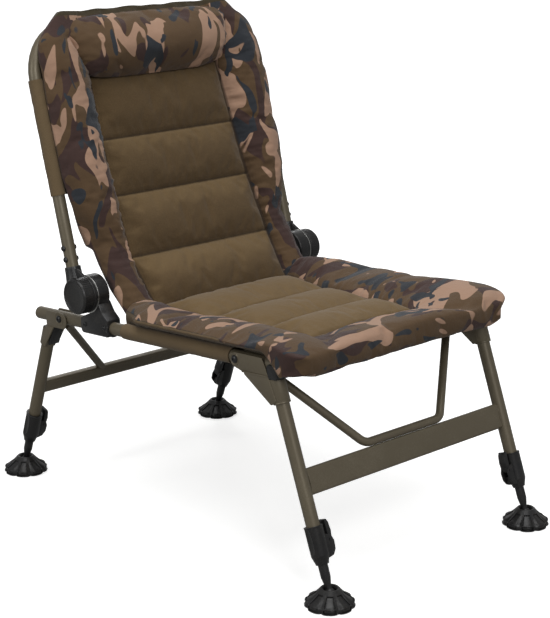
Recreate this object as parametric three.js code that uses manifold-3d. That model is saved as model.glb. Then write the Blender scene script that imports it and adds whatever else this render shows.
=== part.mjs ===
// A low carp fishing chair with a reclining back, folding leg frames and telescopic mud feet.
// Millimetres, +Z up. The sitter faces -Y, so the sitter's right side is -X.
// The origin is on the ground, midway between the four feet.
import * as THREE from 'three';
import { mergeVertices } from 'three/addons/utils/BufferGeometryUtils.js';
import Module from 'manifold-3d';

const wasm = await Module();
wasm.setup();

// Fits that many pieces share
const fit = 0.3; // gap left between two pieces that touch
const overrun = 3; // how far a cutting tool runs past what it cuts
const mergeDistance = 0.0005; // corners closer than this are one corner
const frameTubeRadius = 11; // seat tube, back tube and legs
const frameTubeBore = 9.2;

// Seat frame
const railSpacing = 470; // between the centres of the two side rails, and of the legs
const seatHeight = 338.2; // rail centre above the ground, over the origin
const seatPitch = 3.9; // degrees that the rails rise towards the front
const railRear = 331.8; // rear end of the rails, behind the origin
const railFront = 319; // centre of the front cross tube, ahead of the origin
const seatTubeBend = 45;
const capDepth = 3;
const capPlug = 14;
const capRoundShares = [0.8, 0.6]; // where its rounded edge starts, of its radius and its depth

// Seat sling and its sleeves
const slingThickness = 1.6;
const slingHeight = 2.4; // underside of the sling above the rail centre
const sleeveThickness = 1.9;
const bareRail = 31.1; // between the sleeve's rear end and the clamp of the knuckle
const sleeveFront = 181;
const slingRear = 89;
const slingFront = 302;
const slingNarrowing = 6.5; // beside the leg brackets

// Recline knuckles
const hingeSetback = 172.6; // hinge axis behind the origin, along the rails
const hingeHeight = 55.7; // hinge axis above the rail centre
const drumRadius = 31;
const drumInset = 11; // inner face of a drum from the rail's centre line, towards the middle
const drumWidth = 23.5;
const turnClearance = 1; // room round what turns beside a drum
const headClearance = 2; // room round the axle's head
const washerThickness = 1.3;
const washerRadius = 31.6;
const armThickness = 6;
const knobRadius = 31;
const knobDepth = 21;
const knobRecess = 2.5;
const knobRim = 5;
const knobRibs = 24;
const knobRibDepth = 1.2;
const axleRadius = 5;
const axleHeadRadius = 9;
const axleHeadDepth = 5.5;
const axleReach = 14; // into the knob
const clampHalfWidth = 14;
const clampRear = 23.4; // rear end of the clamp behind the hinge axis
const clampFront = 51.5; // front end of the clamp ahead of the hinge axis
const clampBelow = 13.8; // underside of the clamp below the rail centre
const clampAbove = 13.4; // top of the clamp's rear end above the rail centre
const clampToe = 15; // height of the clamp's front end above the rail centre
const neckRear = 7;
const neckFront = 38;
const neckFoot = 24; // where the neck leaves the clamp, above the rail centre
const neckCrown = 27; // height of the neck's front edge there
const neckRootShares = [0.9, 0.4]; // of the drum's radius: where the neck's front edge meets the drum

// Backrest
const recline = 15.8; // degrees from upright
const uprightOutset = 2.5; // centre line of an upright, outside the outer face of its drum
const uprightSetback = 24; // uprights behind the hinge axis
const uprightBottom = 46;
const backTop = 455; // centre of the top cross tube, along the uprights from the hinge
const backTubeBend = 85;
const socketRadius = 14;
const socketBottom = 16;
const socketTop = 50;
const spigotRadius = 8.9;
const spigotTop = 92;
const boltHeights = [63, 82.5]; // the two cross bolts, along the upright
const crossBoltRadius = 2.5;
const crossBoltHead = 5;
const crossBoltHeadDepth = 3.5;
const boltClearance = 0.3;

// Back sling and its sleeves
const backSleeveBottom = 172;
const backSlingTop = 436;
const backSlingSetback = 24; // front face of the sling behind the hinge axis

// Leg frames: both hang from a pivot bolt in the rail
const frontPivotLead = 197.5; // ahead of the origin, along the rails
const rearPivotSetback = 259.6;
const frontRake = 20.7; // degrees from upright
const rearRake = 18.8; // degrees from upright
const frontLegOffset = 68.9; // from the pivot to the leg's centre line
const rearLegOffset = 32.8;
const legTopGap = 20.6; // leg top below the rail centre
const ballHeight = 20; // centre of the foot's ball above the ground
const pivotRadius = 4;
const pivotHeadRadius = 7.5;
const pivotHeadDepth = 3.6;

// Brackets: pressed steel cheeks on both sides of the rail
const cheekGap = 11.4; // inner face of a cheek from the rail centre
const cheekThickness = 2.2;
const pressingThickness = 3.6;
const cheekAbove = 11;
const pressingTop = -17; // top edge of the lower pressing, from the rail centre
const bossDropShare = 0.7; // how far the cheek's lower edge has dropped to it under the pivot
const bracketBoss = 10; // round end of the cheek about the pivot
const frontCheekReach = 70; // from the pivot towards the leg
const frontCheekSlope = 10; // how far its lower corner leads
const rearCheekReach = 38;
const rearCheekTail = 20; // past the pivot, away from the leg
const tailShares = { bottom: 0.6, top: 0.5, above: 0.4, below: 0.3, heel: 0.6 }; // its rounded corners
const pressingInset = 12; // start of the gusset from the pivot
const socketOuter = 13.6;
const socketBore = 11.35;
const frontSocketLength = 40; // below the leg's top
const rearSocketLength = 36;
const webThickness = 3;
const webStartShare = 0.45; // start of the web down the gusset's lower edge

// Black plastic saddle in the front leg's top and wedge at the rear leg's top
const saddleHalfWidth = 14.2;
const saddleRise = 3; // above the rail centre
const saddleNear = 9; // before the leg's centre line, along the rail
const saddleFar = 17; // past the leg's centre line
const wedgeHalfWidth = 11;
const wedgeLead = 10; // from the pivot's line, so that the folded rail clears it
const wedgeDrop = 42; // down along the leg
const wedgeTop = -13.4; // from the rail centre

// Braces and stays
const frontBraceBottom = 151; // along the leg from the ball
const frontBraceHeight = 42;
const frontBraceDepth = 12;
const rearBraceBottom = 151;
const rearBraceHeight = 24;
const rearBraceDepth = 15;
const braceCorner = 4;
const braceWall = 1.5;
const stayRadius = 7;
const stayBore = 5.6;
const stayBend = 24;
const frontStayRun = 84; // half the width of its bottom run
const frontStayTop = [23.5, -9]; // from the pivot: towards the leg, above the rail
const rearStayFoot = 102;
const rearStayTop = [12, -9];

// Telescopic legs, distances along the leg from the ball
const collarBottom = 58;
const collarTop = 106;
const collarRadius = 14.5;
const collarThroat = 10.5;
const collarShoulder = 12;
const legBottom = 80; // lower end of the outer leg tube, inside the collar
const innerLegRadius = 7.75;
const innerLegTop = 205;
const bushRadius = 8.9;
const bushLength = 14;
const taperTop = 26;
const neckRadius = 5;
const neckLength = 13;
const ballRadius = 9;
const slideGap = 0.35;

// Cam levers
const leverAxis = 20.5; // from the leg's centre line
const leverHeight = 80;
const leverBarrel = 4.8;
const leverWidth = 11;
const leverArmWidth = 15;
const leverNeck = 8; // from the barrel's axis up to the arm
const leverArmLength = 29;
const leverThickness = 6;
const leverNeckShare = 0.6; // of the barrel's radius
const leverArmShares = [[-0.6, 0], [0.7, 0], [0.75, 0.6], [0.35, 1], [-0.6, 1]]; // thickness, length
const earWidth = 3;
const earRadius = 5.2;
const leverPin = 2;

// Mud feet
const footRadius = 39;
const footHeight = 30;
const footLobes = 8;
const footLobeDepth = 2.6;
const footSocketGap = 0.8;
const footMouth = 62; // degrees, half the opening of the ball's socket
const footRingShares = [[1, 0], [1, 0.3], [0.84, 0.55], [0.55, 0.85], [0.34, 1]];

// Mattress on the seat, heights above the rail centre
const padOverhang = 20; // outside the centre lines of the rails
const waistGap = 10; // between the mattress and the drums of the knuckles
const padWaistStart = 42; // where the sides begin to draw in, behind the origin
const padFront = 338;
const padCorner = 26;
const seatSeams = [109, -8, -130, -234]; // crease and channel seams, rear to front
const seatSeamHeights = [24.5, 16.5, 14.3, 13.4];
const seatPanelHalves = [152, 140, 129, 121]; // half width of the centre panel at each seam
const channelCrown = 15;
const bolsterCrown = 17;
const padEdgeTop = 33;
const padEdgeBottom = 24;
const padFrontTop = 15;
const padUnderSling = 4.4;
const padUnderSleeve = 13.7;
const pocketStart = 303; // front pocket over the cross tube, ahead of the origin
const pocketBottom = 14;

// Mattress on the back: distances from the hinge axis, along and behind the uprights
const backSeams = [75, 154, 253, 367];
const backSeamDepths = [-14, -1.9, 8.1, 13];
const backPanelHalves = [157, 152, 149, 144];
const backPadTop = 468;
const backEdgeHeights = [75, 100, 130, 160, 200, 340, 400, 430, 448, 468];
const backEdgeInsets = [42, 30, 18, 9, 4, 4, 8, 17, 33, 70]; // inside the centre lines of the uprights
const backBolsters = [34, 34, 34, 34, 33, 28, 26, 24, 20, 16]; // rise of the side bolster there
const backPadThickness = 14;
const backEdgeThickness = 12;
const backRestPlane = 11.2; // rear face of the mattress where it meets the sleeves
const backSagPlane = 23.5; // and where it lies on the sling
const restSlope = 12; // width of the change between the two
const backEdgeFront = 1;
const pillowRecess = 6.5; // front face of the mattress behind the pillow

// Lumbar stretch of the mattress, across the hinge
const lumbarSeams = [-41, 46, 74.4];
const lumbarDepths = [-54, -21, -14];
const lumbarInsets = [19, 18, 16]; // inside the drums
const lumbarPanelHalves = [152, 158, 157];
const lumbarThickness = 13;
const creaseMitre = 0.8; // how far a bolster draws back at the crease, for each millimetre of its rise

// Head pillow
const pillowBottom = 354;
const pillowTop = 466;
const pillowTopHalf = 182;
const pillowBottomHalf = 158;
const pillowThickness = 52;
const pillowBack = 6.1;
const pillowEndShares = { height: 0.62, depth: 0.12 }; // of its height and thickness, at its drawn-in ends
const pillowPowers = { across: 5, up: 2.6 }; // higher is squarer
const pillowColumns = 12;
const pillowRows = 10;

const tubeSides = 16;
const rodSides = 10;
const bendSteps = 5;
const boltSides = 8;
const hexSides = 6;
const drumSides = 20;

const { degToRad, lerp } = THREE.MathUtils;
const sides = [{ name: 'right', sign: -1 }, { name: 'left', sign: 1 }];
const railX = railSpacing / 2;
const drumInner = railX - drumInset; // from the middle plane of the chair
const drumOuter = drumInner + drumWidth;
const uprightX = drumOuter + uprightOutset;
const sleeveRear = hingeSetback - clampFront - bareRail;
const padHalfWidth = railX + padOverhang;
const padWaist = drumInner - waistGap;
const pitchAngle = degToRad(seatPitch);
const reclineAngle = degToRad(recline);

const paint = { color: 0x5b5346, roughness: 0.42, metalness: 0.55 };
const materials = {
  bronze_paint: paint,
  black_plastic: { color: 0x17181a, roughness: 0.6, metalness: 0 },
  zinc_steel: { color: 0x9a9a98, roughness: 0.35, metalness: 0.9 },
  black_steel: { color: 0x1c1c1c, roughness: 0.4, metalness: 0.7 },
  sling_fabric: { color: 0x4d4130, roughness: 0.95, metalness: 0 },
  camo_fabric: { color: 0x5a4836, roughness: 0.9, metalness: 0 },
};

function material(name) {
  const made = new THREE.MeshStandardMaterial(materials[name]);
  made.name = name;
  return made;
}

// Solids

const spaceAxes = [0, 1, 2]; // X, Y and Z, and a triangle's corners

function signedVolume(position, index) {
  const corners = spaceAxes.map(() => new THREE.Vector3());
  let volume = 0;
  for (let i = 0; i < index.length; i += spaceAxes.length) {
    corners.forEach((corner, k) => corner.fromArray(position, index[i + k] * spaceAxes.length));
    volume += corners[0].dot(corners[1].clone().cross(corners[2]));
  }
  return volume;
}

function solid(geometry) {
  const bare = new THREE.BufferGeometry();
  bare.setAttribute('position', geometry.getAttribute('position').clone());
  if (geometry.index) bare.setIndex(geometry.index.clone());
  const merged = mergeVertices(bare, mergeDistance);
  const position = merged.getAttribute('position').array;
  const triangles = [];
  for (let i = 0; i < merged.index.count; i += spaceAxes.length) {
    const [a, b, c] = spaceAxes.map((k) => merged.index.array[i + k]);
    if (a !== b && b !== c && c !== a) triangles.push(a, b, c);
  }
  if (signedVolume(position, triangles) < 0) triangles.reverse();
  const vertProperties = Float32Array.from(position);
  const triVerts = Uint32Array.from(triangles);
  return new wasm.Manifold(new wasm.Mesh({ numProp: spaceAxes.length, vertProperties, triVerts }));
}

function joined(first, ...others) {
  return others.reduce((whole, next) => whole.add(next), first);
}

function cut(first, ...tools) {
  return tools.reduce((whole, tool) => whole.subtract(tool), first);
}

function geometryOf(shape) {
  const mesh = shape.getMesh();
  const geometry = new THREE.BufferGeometry();
  geometry.setAttribute('position', new THREE.BufferAttribute(Float32Array.from(mesh.vertProperties), 3));
  geometry.setIndex(Array.from(mesh.triVerts));
  geometry.computeVertexNormals();
  return geometry;
}

function addPiece(group, name, shape, materialName) {
  const piece = new THREE.Mesh(geometryOf(shape), material(materialName));
  piece.name = name;
  group.add(piece);
  return piece;
}

// Shapes along the three axes

function cylinderAlongZ(radius, low, high, sidesOfIt) {
  const rod = new THREE.CylinderGeometry(radius, radius, high - low, sidesOfIt);
  return rod.rotateX(Math.PI / 2).translate(0, 0, (low + high) / 2);
}

function rodAlongZ(radius, low, high, x, y, sidesOfIt = rodSides) {
  return solid(cylinderAlongZ(radius, low, high, sidesOfIt).translate(x, y, 0));
}

function rodAlongX(radius, low, high, y, z, sidesOfIt = rodSides) {
  const [start, end] = [Math.min(low, high), Math.max(low, high)];
  return solid(cylinderAlongZ(radius, start, end, sidesOfIt).rotateY(Math.PI / 2).translate(0, y, z));
}

function block(low, high) {
  const size = high.map((value, k) => value - low[k]);
  const centre = high.map((value, k) => (value + low[k]) / 2);
  return solid(new THREE.BoxGeometry(...size).translate(...centre));
}

// A turned shape about Z from [radius, height] pairs
function turned(profile, sidesOfIt) {
  const points = profile.map(([radius, height]) => new THREE.Vector2(radius, height));
  return new THREE.LatheGeometry(points, sidesOfIt).rotateX(Math.PI / 2);
}

function ring(inner, outer, low, high, sidesOfIt = tubeSides) {
  return turned([[inner, low], [outer, low], [outer, high], [inner, high], [inner, low]], sidesOfIt);
}

// A plate whose outline lies in Y and Z, from x = low to x = high
function plate(shape, low, high) {
  const [start, end] = [Math.min(low, high), Math.max(low, high)];
  const depth = end - start;
  const geometry = new THREE.ExtrudeGeometry(shape, { depth, bevelEnabled: false, curveSegments: rodSides });
  const turn = new THREE.Matrix4().set(0, 0, 1, start, 1, 0, 0, 0, 0, 1, 0, 0, 0, 0, 0, 1);
  return geometry.applyMatrix4(turn);
}

function outline(points) {
  return new THREE.Shape(points.map(([y, z]) => new THREE.Vector2(y, z)));
}

// Bent tubes: straight runs joined by arcs

function stationsAlong(corners, bendRadius) {
  const points = corners.map((corner) => new THREE.Vector3(...corner));
  const heading = (k) => points[k + 1].clone().sub(points[k]).normalize();
  const stations = [{ point: points[0], tangent: heading(0) }];
  for (let k = 1; k < points.length - 1; k += 1) {
    const [before, after] = [heading(k - 1), heading(k)];
    const turn = before.angleTo(after);
    const inward = after.clone().addScaledVector(before, -after.dot(before)).normalize();
    const start = points[k].clone().addScaledVector(before, -bendRadius * Math.tan(turn / 2));
    const centre = start.clone().addScaledVector(inward, bendRadius);
    for (let step = 0; step <= bendSteps; step += 1) {
      const angle = (turn * step) / bendSteps;
      const point = centre.clone().addScaledVector(inward, -bendRadius * Math.cos(angle));
      point.addScaledVector(before, bendRadius * Math.sin(angle));
      const tangent = before.clone().multiplyScalar(Math.cos(angle)).addScaledVector(inward, Math.sin(angle));
      stations.push({ point, tangent });
    }
  }
  stations.push({ point: points[points.length - 1], tangent: heading(points.length - 2) });
  return stations;
}

// up is square to the plane that the tube lies in
function bentTube(corners, bendRadius, radius, bore, up, sidesOfIt = tubeSides) {
  const stations = stationsAlong(corners, bendRadius);
  const positions = [];
  const index = [];
  const lift = new THREE.Vector3(...up).normalize();
  const radii = bore > 0 ? [radius, bore] : [radius];
  for (const { point, tangent } of stations) {
    const across = tangent.clone().cross(lift).normalize();
    for (const reach of radii) {
      for (let k = 0; k < sidesOfIt; k += 1) {
        const angle = (2 * Math.PI * k) / sidesOfIt;
        const corner = point.clone().addScaledVector(across, reach * Math.cos(angle));
        corner.addScaledVector(lift, reach * Math.sin(angle));
        positions.push(corner.x, corner.y, corner.z);
      }
    }
  }
  const stride = sidesOfIt * radii.length;
  const at = (station, layer, k) => station * stride + layer * sidesOfIt + (k % sidesOfIt);
  const quad = (a, b, c, d) => index.push(a, b, c, a, c, d);
  for (let s = 0; s < stations.length - 1; s += 1) {
    for (let k = 0; k < sidesOfIt; k += 1) {
      quad(at(s, 0, k), at(s, 0, k + 1), at(s + 1, 0, k + 1), at(s + 1, 0, k));
      if (bore > 0) quad(at(s, 1, k + 1), at(s, 1, k), at(s + 1, 1, k), at(s + 1, 1, k + 1));
    }
  }
  const last = stations.length - 1;
  for (let k = 0; k < sidesOfIt; k += 1) {
    if (bore > 0) {
      quad(at(0, 0, k + 1), at(0, 0, k), at(0, 1, k), at(0, 1, k + 1));
      quad(at(last, 0, k), at(last, 0, k + 1), at(last, 1, k + 1), at(last, 1, k));
    } else if (k > 0 && k < sidesOfIt - 1) {
      index.push(at(0, 0, 0), at(0, 0, k + 1), at(0, 0, k));
      index.push(at(last, 0, 0), at(last, 0, k), at(last, 0, k + 1));
    }
  }
  const geometry = new THREE.BufferGeometry();
  geometry.setAttribute('position', new THREE.Float32BufferAttribute(positions, 3));
  geometry.setIndex(index);
  return geometry;
}

// A quilted pad: a closed skin over a grid, with a front and a back point at each crossing
function quilted(columns, rows, front, back) {
  const positions = [];
  const index = [];
  for (const face of [front, back]) {
    for (let r = 0; r <= rows; r += 1) {
      for (let c = 0; c <= columns; c += 1) positions.push(...face(c, r));
    }
  }
  const layer = (columns + 1) * (rows + 1);
  const at = (c, r, side) => side * layer + r * (columns + 1) + c;
  const quad = (a, b, d, e) => index.push(a, b, d, a, d, e);
  for (let r = 0; r < rows; r += 1) {
    for (let c = 0; c < columns; c += 1) {
      quad(at(c, r, 0), at(c + 1, r, 0), at(c + 1, r + 1, 0), at(c, r + 1, 0));
      quad(at(c + 1, r, 1), at(c, r, 1), at(c, r + 1, 1), at(c + 1, r + 1, 1));
    }
  }
  for (let c = 0; c < columns; c += 1) {
    quad(at(c + 1, 0, 0), at(c, 0, 0), at(c, 0, 1), at(c + 1, 0, 1));
    quad(at(c, rows, 0), at(c + 1, rows, 0), at(c + 1, rows, 1), at(c, rows, 1));
  }
  for (let r = 0; r < rows; r += 1) {
    quad(at(0, r, 0), at(0, r + 1, 0), at(0, r + 1, 1), at(0, r, 1));
    quad(at(columns, r + 1, 0), at(columns, r, 0), at(columns, r, 1), at(columns, r + 1, 1));
  }
  const geometry = new THREE.BufferGeometry();
  geometry.setAttribute('position', new THREE.Float32BufferAttribute(positions, 3));
  geometry.setIndex(index);
  return geometry;
}

// Reads a table of values at given places, with straight lines between them
function along(places, values, place) {
  const rising = places[1] > places[0];
  for (let k = 0; k < places.length - 1; k += 1) {
    const passed = rising ? place <= places[k + 1] : place >= places[k + 1];
    if (passed || k === places.length - 2) {
      const share = (place - places[k]) / (places[k + 1] - places[k]);
      return lerp(values[k], values[k + 1], Math.min(Math.max(share, 0), 1));
    }
  }
  return values[0];
}

// Column and row places of a pad: bolster, panel, bolster
const clamped = (share) => Math.min(Math.max(share, 0), 1);
const swell = (share) => Math.sin(Math.PI * clamped(share)) ** swellPower;

const bolsterShares = [0, 0.08, 0.25, 0.55, 0.82];
const panelShares = [-1, -0.86, -0.45, 0, 0.45, 0.86, 1];
const frontRowShares = [0.2, 0.45, 0.68, 0.86, 0.96, 1]; // rows of the seat's front bolster
const frontCrownShare = 0.9; // the front bolster's crown ends short of the front edge
const topRowShares = [0.25, 0.5, 0.72, 0.88, 0.97, 1]; // rows of the back above its last seam
const upperLumbarShare = 0.4; // height of the lumbar's upper channel, of the others'
const swellPower = 0.7; // below 1 for fuller channels
const topPower = 4; // how square the top edge of the back is
const squarePower = 6; // how square the ends of a channel are
const padColumns = bolsterShares.length * 2 + panelShares.length - 1;

function padColumn(column, outerHalf, panelHalf) {
  const inner = bolsterShares.length;
  const inPanel = column >= inner && column <= inner + panelShares.length - 1;
  if (inPanel) {
    const share = panelShares[column - inner];
    return { x: share * panelHalf, panel: 1 - Math.abs(share) ** squarePower, bolster: 0 };
  }
  const left = column < inner;
  const bolster = bolsterShares[left ? column : padColumns - column];
  const x = lerp(outerHalf, panelHalf, bolster) * (left ? -1 : 1);
  return { x, panel: 0, bolster, onBolster: true };
}

// Rows at each seam, with channelRows steps across every channel between two seams
const channelRows = 4;

function rowPlaces(seams) {
  const places = [];
  for (let k = 0; k < seams.length - 1; k += 1) {
    for (let step = 0; step < channelRows; step += 1) {
      places.push({ place: lerp(seams[k], seams[k + 1], step / channelRows), share: step / channelRows });
    }
  }
  places.push({ place: seams[seams.length - 1], share: 0 });
  return places;
}

// Frames in space

const chair = new THREE.Group();
chair.name = 'carp_fishing_chair';

const seat = new THREE.Group();
seat.position.set(0, 0, seatHeight);
seat.rotation.x = -pitchAngle;
chair.add(seat);

// World Y and Z of a point given along and above the rails
function onSeat(setback, height) {
  const y = setback * Math.cos(pitchAngle) + height * Math.sin(pitchAngle);
  const z = seatHeight - setback * Math.sin(pitchAngle) + height * Math.cos(pitchAngle);
  return [y, z];
}

const backrest = new THREE.Group();
backrest.position.set(0, ...onSeat(hingeSetback, hingeHeight));
backrest.rotation.x = -reclineAngle;
chair.add(backrest);

// Seat frame

const seatCorners = [
  [-railX, railRear, 0],
  [-railX, -railFront, 0],
  [railX, -railFront, 0],
  [railX, railRear, 0],
];

function seatTube(radius, bore) {
  return bentTube(seatCorners, seatTubeBend, radius, bore, [0, 0, 1]);
}

function addSeatTube() {
  const tools = [-frontPivotLead, rearPivotSetback].map((setback) => {
    const reach = railX + frameTubeRadius + overrun;
    return rodAlongX(pivotRadius + fit, -reach, reach, setback, 0, boltSides);
  });
  const tube = cut(solid(seatTube(frameTubeRadius, frameTubeBore)), ...tools);
  addPiece(seat, 'seat_tube', tube, 'bronze_paint');
}

function addEndCap(side) {
  const profile = [
    [0, -capPlug],
    [frameTubeBore - fit, -capPlug],
    [frameTubeBore - fit, fit],
    [frameTubeRadius, fit],
    [frameTubeRadius, capDepth * capRoundShares[1]],
    [frameTubeRadius * capRoundShares[0], capDepth],
    [0, capDepth],
  ];
  const cap = turned(profile, tubeSides).rotateX(-Math.PI / 2).translate(side.sign * railX, railRear, 0);
  addPiece(seat, `rail_end_cap_${side.name}`, solid(cap), 'black_plastic');
}

function addSeatSling() {
  const sleeveOuter = frameTubeRadius + fit + sleeveThickness;
  const inner = railX - sleeveOuter + sleeveThickness / 2;
  const sleeves = sides.map(({ sign }) => {
    const sleeve = ring(frameTubeRadius + fit, sleeveOuter, -sleeveFront, sleeveRear);
    return solid(sleeve.rotateX(-Math.PI / 2).translate(sign * railX, 0, 0));
  });
  const top = slingHeight + slingThickness;
  const wide = block([-inner, -sleeveFront, slingHeight], [inner, slingRear, top]);
  const narrow = block(
    [-inner + slingNarrowing, -slingFront, slingHeight],
    [inner - slingNarrowing, -sleeveFront + overrun, top],
  );
  const panel = cut(joined(wide, narrow), solid(seatTube(frameTubeRadius + fit, 0)));
  addPiece(seat, 'seat_sling', joined(panel, ...sleeves), 'sling_fabric');
}

// Knuckles

function knuckleOutline() {
  const below = -hingeHeight;
  return outline([
    [clampRear, below - clampBelow],
    [clampRear, below + clampAbove],
    [-neckRear, below + neckFoot],
    [0, 0],
    [-drumRadius * neckRootShares[0], -drumRadius * neckRootShares[1]],
    [-neckFront, below + neckCrown],
    [-clampFront, below + clampToe],
    [-clampFront, below - clampBelow],
  ]);
}

function addKnuckle(side) {
  const knuckle = new THREE.Group();
  knuckle.position.set(0, hingeSetback, hingeHeight);
  seat.add(knuckle);
  const s = side.sign;
  const clampCentre = s * railX;
  const drum = rodAlongX(drumRadius, s * drumInner, s * drumOuter, 0, 0, drumSides);
  const clamp = solid(plate(knuckleOutline(), clampCentre - clampHalfWidth, clampCentre + clampHalfWidth));
  const washerOuter = drumOuter + 2 * fit + washerThickness;
  const roomEnd = s * (drumOuter + knobDepth);
  const room = rodAlongX(drumRadius + turnClearance, s * drumOuter, roomEnd, 0, 0, drumSides);
  const [boreFront, boreRear] = [-clampFront - overrun, clampRear + overrun];
  const railBore = rodAlongZ(frameTubeRadius + fit, boreFront, boreRear, 0, 0, tubeSides);
  const bore = railBore.rotate([-90, 0, 0]).translate([clampCentre, 0, -hingeHeight]);
  const axleHole = rodAlongX(axleRadius + fit, s * (drumInner - overrun), s * (drumOuter + overrun), 0, 0);
  const headStart = s * (drumInner - clampHalfWidth);
  const headRoom = rodAlongX(axleHeadRadius + headClearance, headStart, s * drumInner, 0, 0);
  const base = cut(joined(drum, cut(clamp, room, headRoom)), bore, axleHole);
  addPiece(knuckle, `knuckle_base_${side.name}`, base, 'black_plastic');

  const washerInner = drumOuter + fit;
  const washer = ring(axleRadius + fit, washerRadius, washerInner, washerOuter - fit, drumSides);
  addPiece(knuckle, `knuckle_washer_${side.name}`, solid(washer.rotateY((s * Math.PI) / 2)), 'zinc_steel');

  const headInner = drumInner - fit - axleHeadDepth;
  const axle = joined(
    rodAlongX(axleHeadRadius, s * headInner, s * (drumInner - fit), 0, 0, hexSides),
    rodAlongX(axleRadius, s * (headInner + axleHeadDepth / 2), s * (knobInner + axleReach), 0, 0),
  );
  addPiece(knuckle, `knuckle_axle_${side.name}`, axle, 'black_steel');
}

const armInner = drumOuter + 2 * fit + washerThickness;
const knobInner = armInner + armThickness + fit;

function addKnob(side) {
  const knob = new THREE.Group();
  knob.position.set(0, hingeSetback, hingeHeight);
  seat.add(knob);
  const s = side.sign;
  const outer = knobInner + knobDepth;
  const body = rodAlongX(knobRadius, s * knobInner, s * outer, 0, 0, drumSides);
  const floor = outer - knobRecess;
  const recess = rodAlongX(knobRadius - knobRim, s * floor, s * (outer + overrun), 0, 0, drumSides);
  const [boreStart, boreEnd] = [s * (knobInner - overrun), s * (knobInner + axleReach + fit)];
  const bore = rodAlongX(axleRadius + fit, boreStart, boreEnd, 0, 0);
  const flutes = [];
  for (let k = 0; k < knobRibs; k += 2) {
    const angle = (2 * Math.PI * (k + 0.5)) / knobRibs;
    const radius = knobRadius + knobRibDepth;
    const [y, z] = [radius * Math.cos(angle), radius * Math.sin(angle)];
    flutes.push(rodAlongX(2 * knobRibDepth, s * (knobInner + knobRim), s * floor, y, z, hexSides));
  }
  addPiece(knob, `recline_knob_${side.name}`, cut(body, recess, bore, ...flutes), 'black_plastic');
}

// Backrest

const backCorners = [
  [-uprightX, uprightSetback, uprightBottom],
  [-uprightX, uprightSetback, backTop],
  [uprightX, uprightSetback, backTop],
  [uprightX, uprightSetback, uprightBottom],
];

function backTube(radius, bore) {
  return bentTube(backCorners, backTubeBend, radius, bore, [0, -1, 0]);
}

function boltHole(reach, height) {
  return rodAlongX(crossBoltRadius + boltClearance, -reach, reach, uprightSetback, height, boltSides);
}

function addBackTube() {
  const reach = uprightX + frameTubeRadius + overrun;
  const holes = boltHeights.map((z) => boltHole(reach, z));
  const tube = cut(solid(backTube(frameTubeRadius, frameTubeBore)), ...holes);
  addPiece(backrest, 'back_tube', tube, 'bronze_paint');
}

function addKnuckleArm(side) {
  const s = side.sign;
  const [inner, outer] = [s * armInner, s * (armInner + armThickness)];
  const disc = rodAlongX(drumRadius, inner, outer, 0, 0, drumSides);
  const lug = solid(plate(outline([
    [-drumRadius / 2, 0],
    [uprightSetback, -drumRadius / 2],
    [uprightSetback + socketRadius, socketBottom],
    [uprightSetback + socketRadius, socketTop - socketRadius],
    [uprightSetback - socketRadius, socketTop - socketRadius / 2],
    [0, drumRadius],
  ]), inner, outer));
  const onUpright = [s * uprightX, uprightSetback, tubeSides];
  const socket = rodAlongZ(socketRadius, socketBottom, socketTop, ...onUpright);
  const [roomStart, roomEnd] = [s * (drumInner - overrun), s * (knobInner + knobDepth)];
  const roomInside = rodAlongX(washerRadius + turnClearance, roomStart, inner, 0, 0, drumSides);
  const roomOutside = rodAlongX(knobRadius + turnClearance, outer, roomEnd, 0, 0, drumSides);
  const mouth = rodAlongZ(frameTubeRadius + fit, uprightBottom - fit, socketTop + overrun, ...onUpright);
  const spigot = rodAlongZ(spigotRadius, socketTop - socketRadius, spigotTop, ...onUpright);
  const axleHole = rodAlongX(axleRadius + fit, inner - s * overrun, outer + s * overrun, 0, 0);
  const reach = uprightX + socketRadius;
  const holes = boltHeights.map((z) => boltHole(reach, z));
  const shell = joined(disc, lug, cut(socket, roomInside, roomOutside, mouth));
  const arm = cut(joined(shell, spigot), axleHole, ...holes);
  addPiece(backrest, `knuckle_arm_${side.name}`, arm, 'black_plastic');
}

function addCrossBolt(side, place, z) {
  const s = side.sign;
  const face = frameTubeRadius + fit;
  const [near, far] = [s * (uprightX - face), s * (uprightX + face)];
  const head = s * crossBoltHeadDepth;
  const bolt = joined(
    rodAlongX(crossBoltRadius, near - head / 2, far + head / 2, uprightSetback, z, boltSides),
    rodAlongX(crossBoltHead, near - head, near, uprightSetback, z),
    rodAlongX(crossBoltHead, far, far + head, uprightSetback, z),
  );
  addPiece(backrest, `${place}_cross_bolt_${side.name}`, bolt, 'black_steel');
}

function addBackSling() {
  const sleeveOuter = frameTubeRadius + fit + sleeveThickness;
  const bendStart = backTop - backTubeBend;
  const sleeves = sides.map(({ sign }) => {
    const sleeve = ring(frameTubeRadius + fit, sleeveOuter, backSleeveBottom, bendStart);
    return solid(sleeve.translate(sign * uprightX, uprightSetback, 0));
  });
  const half = uprightX - sleeveOuter + sleeveThickness / 2;
  const corner = backTubeBend - sleeveOuter;
  const shape = new THREE.Shape();
  shape.moveTo(-half, backSleeveBottom);
  shape.lineTo(half, backSleeveBottom);
  shape.lineTo(half, backSlingTop - corner);
  shape.absarc(half - corner, backSlingTop - corner, corner, 0, Math.PI / 2, false);
  shape.lineTo(-half + corner, backSlingTop);
  shape.absarc(-half + corner, backSlingTop - corner, corner, Math.PI / 2, Math.PI, false);
  const sheet = { depth: slingThickness, bevelEnabled: false, curveSegments: bendSteps };
  const panel = new THREE.ExtrudeGeometry(shape, sheet);
  panel.rotateX(Math.PI / 2).translate(0, backSlingSetback + slingThickness, 0);
  addPiece(backrest, 'back_sling', joined(solid(panel), ...sleeves), 'sling_fabric');
}

// Leg frames

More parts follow.
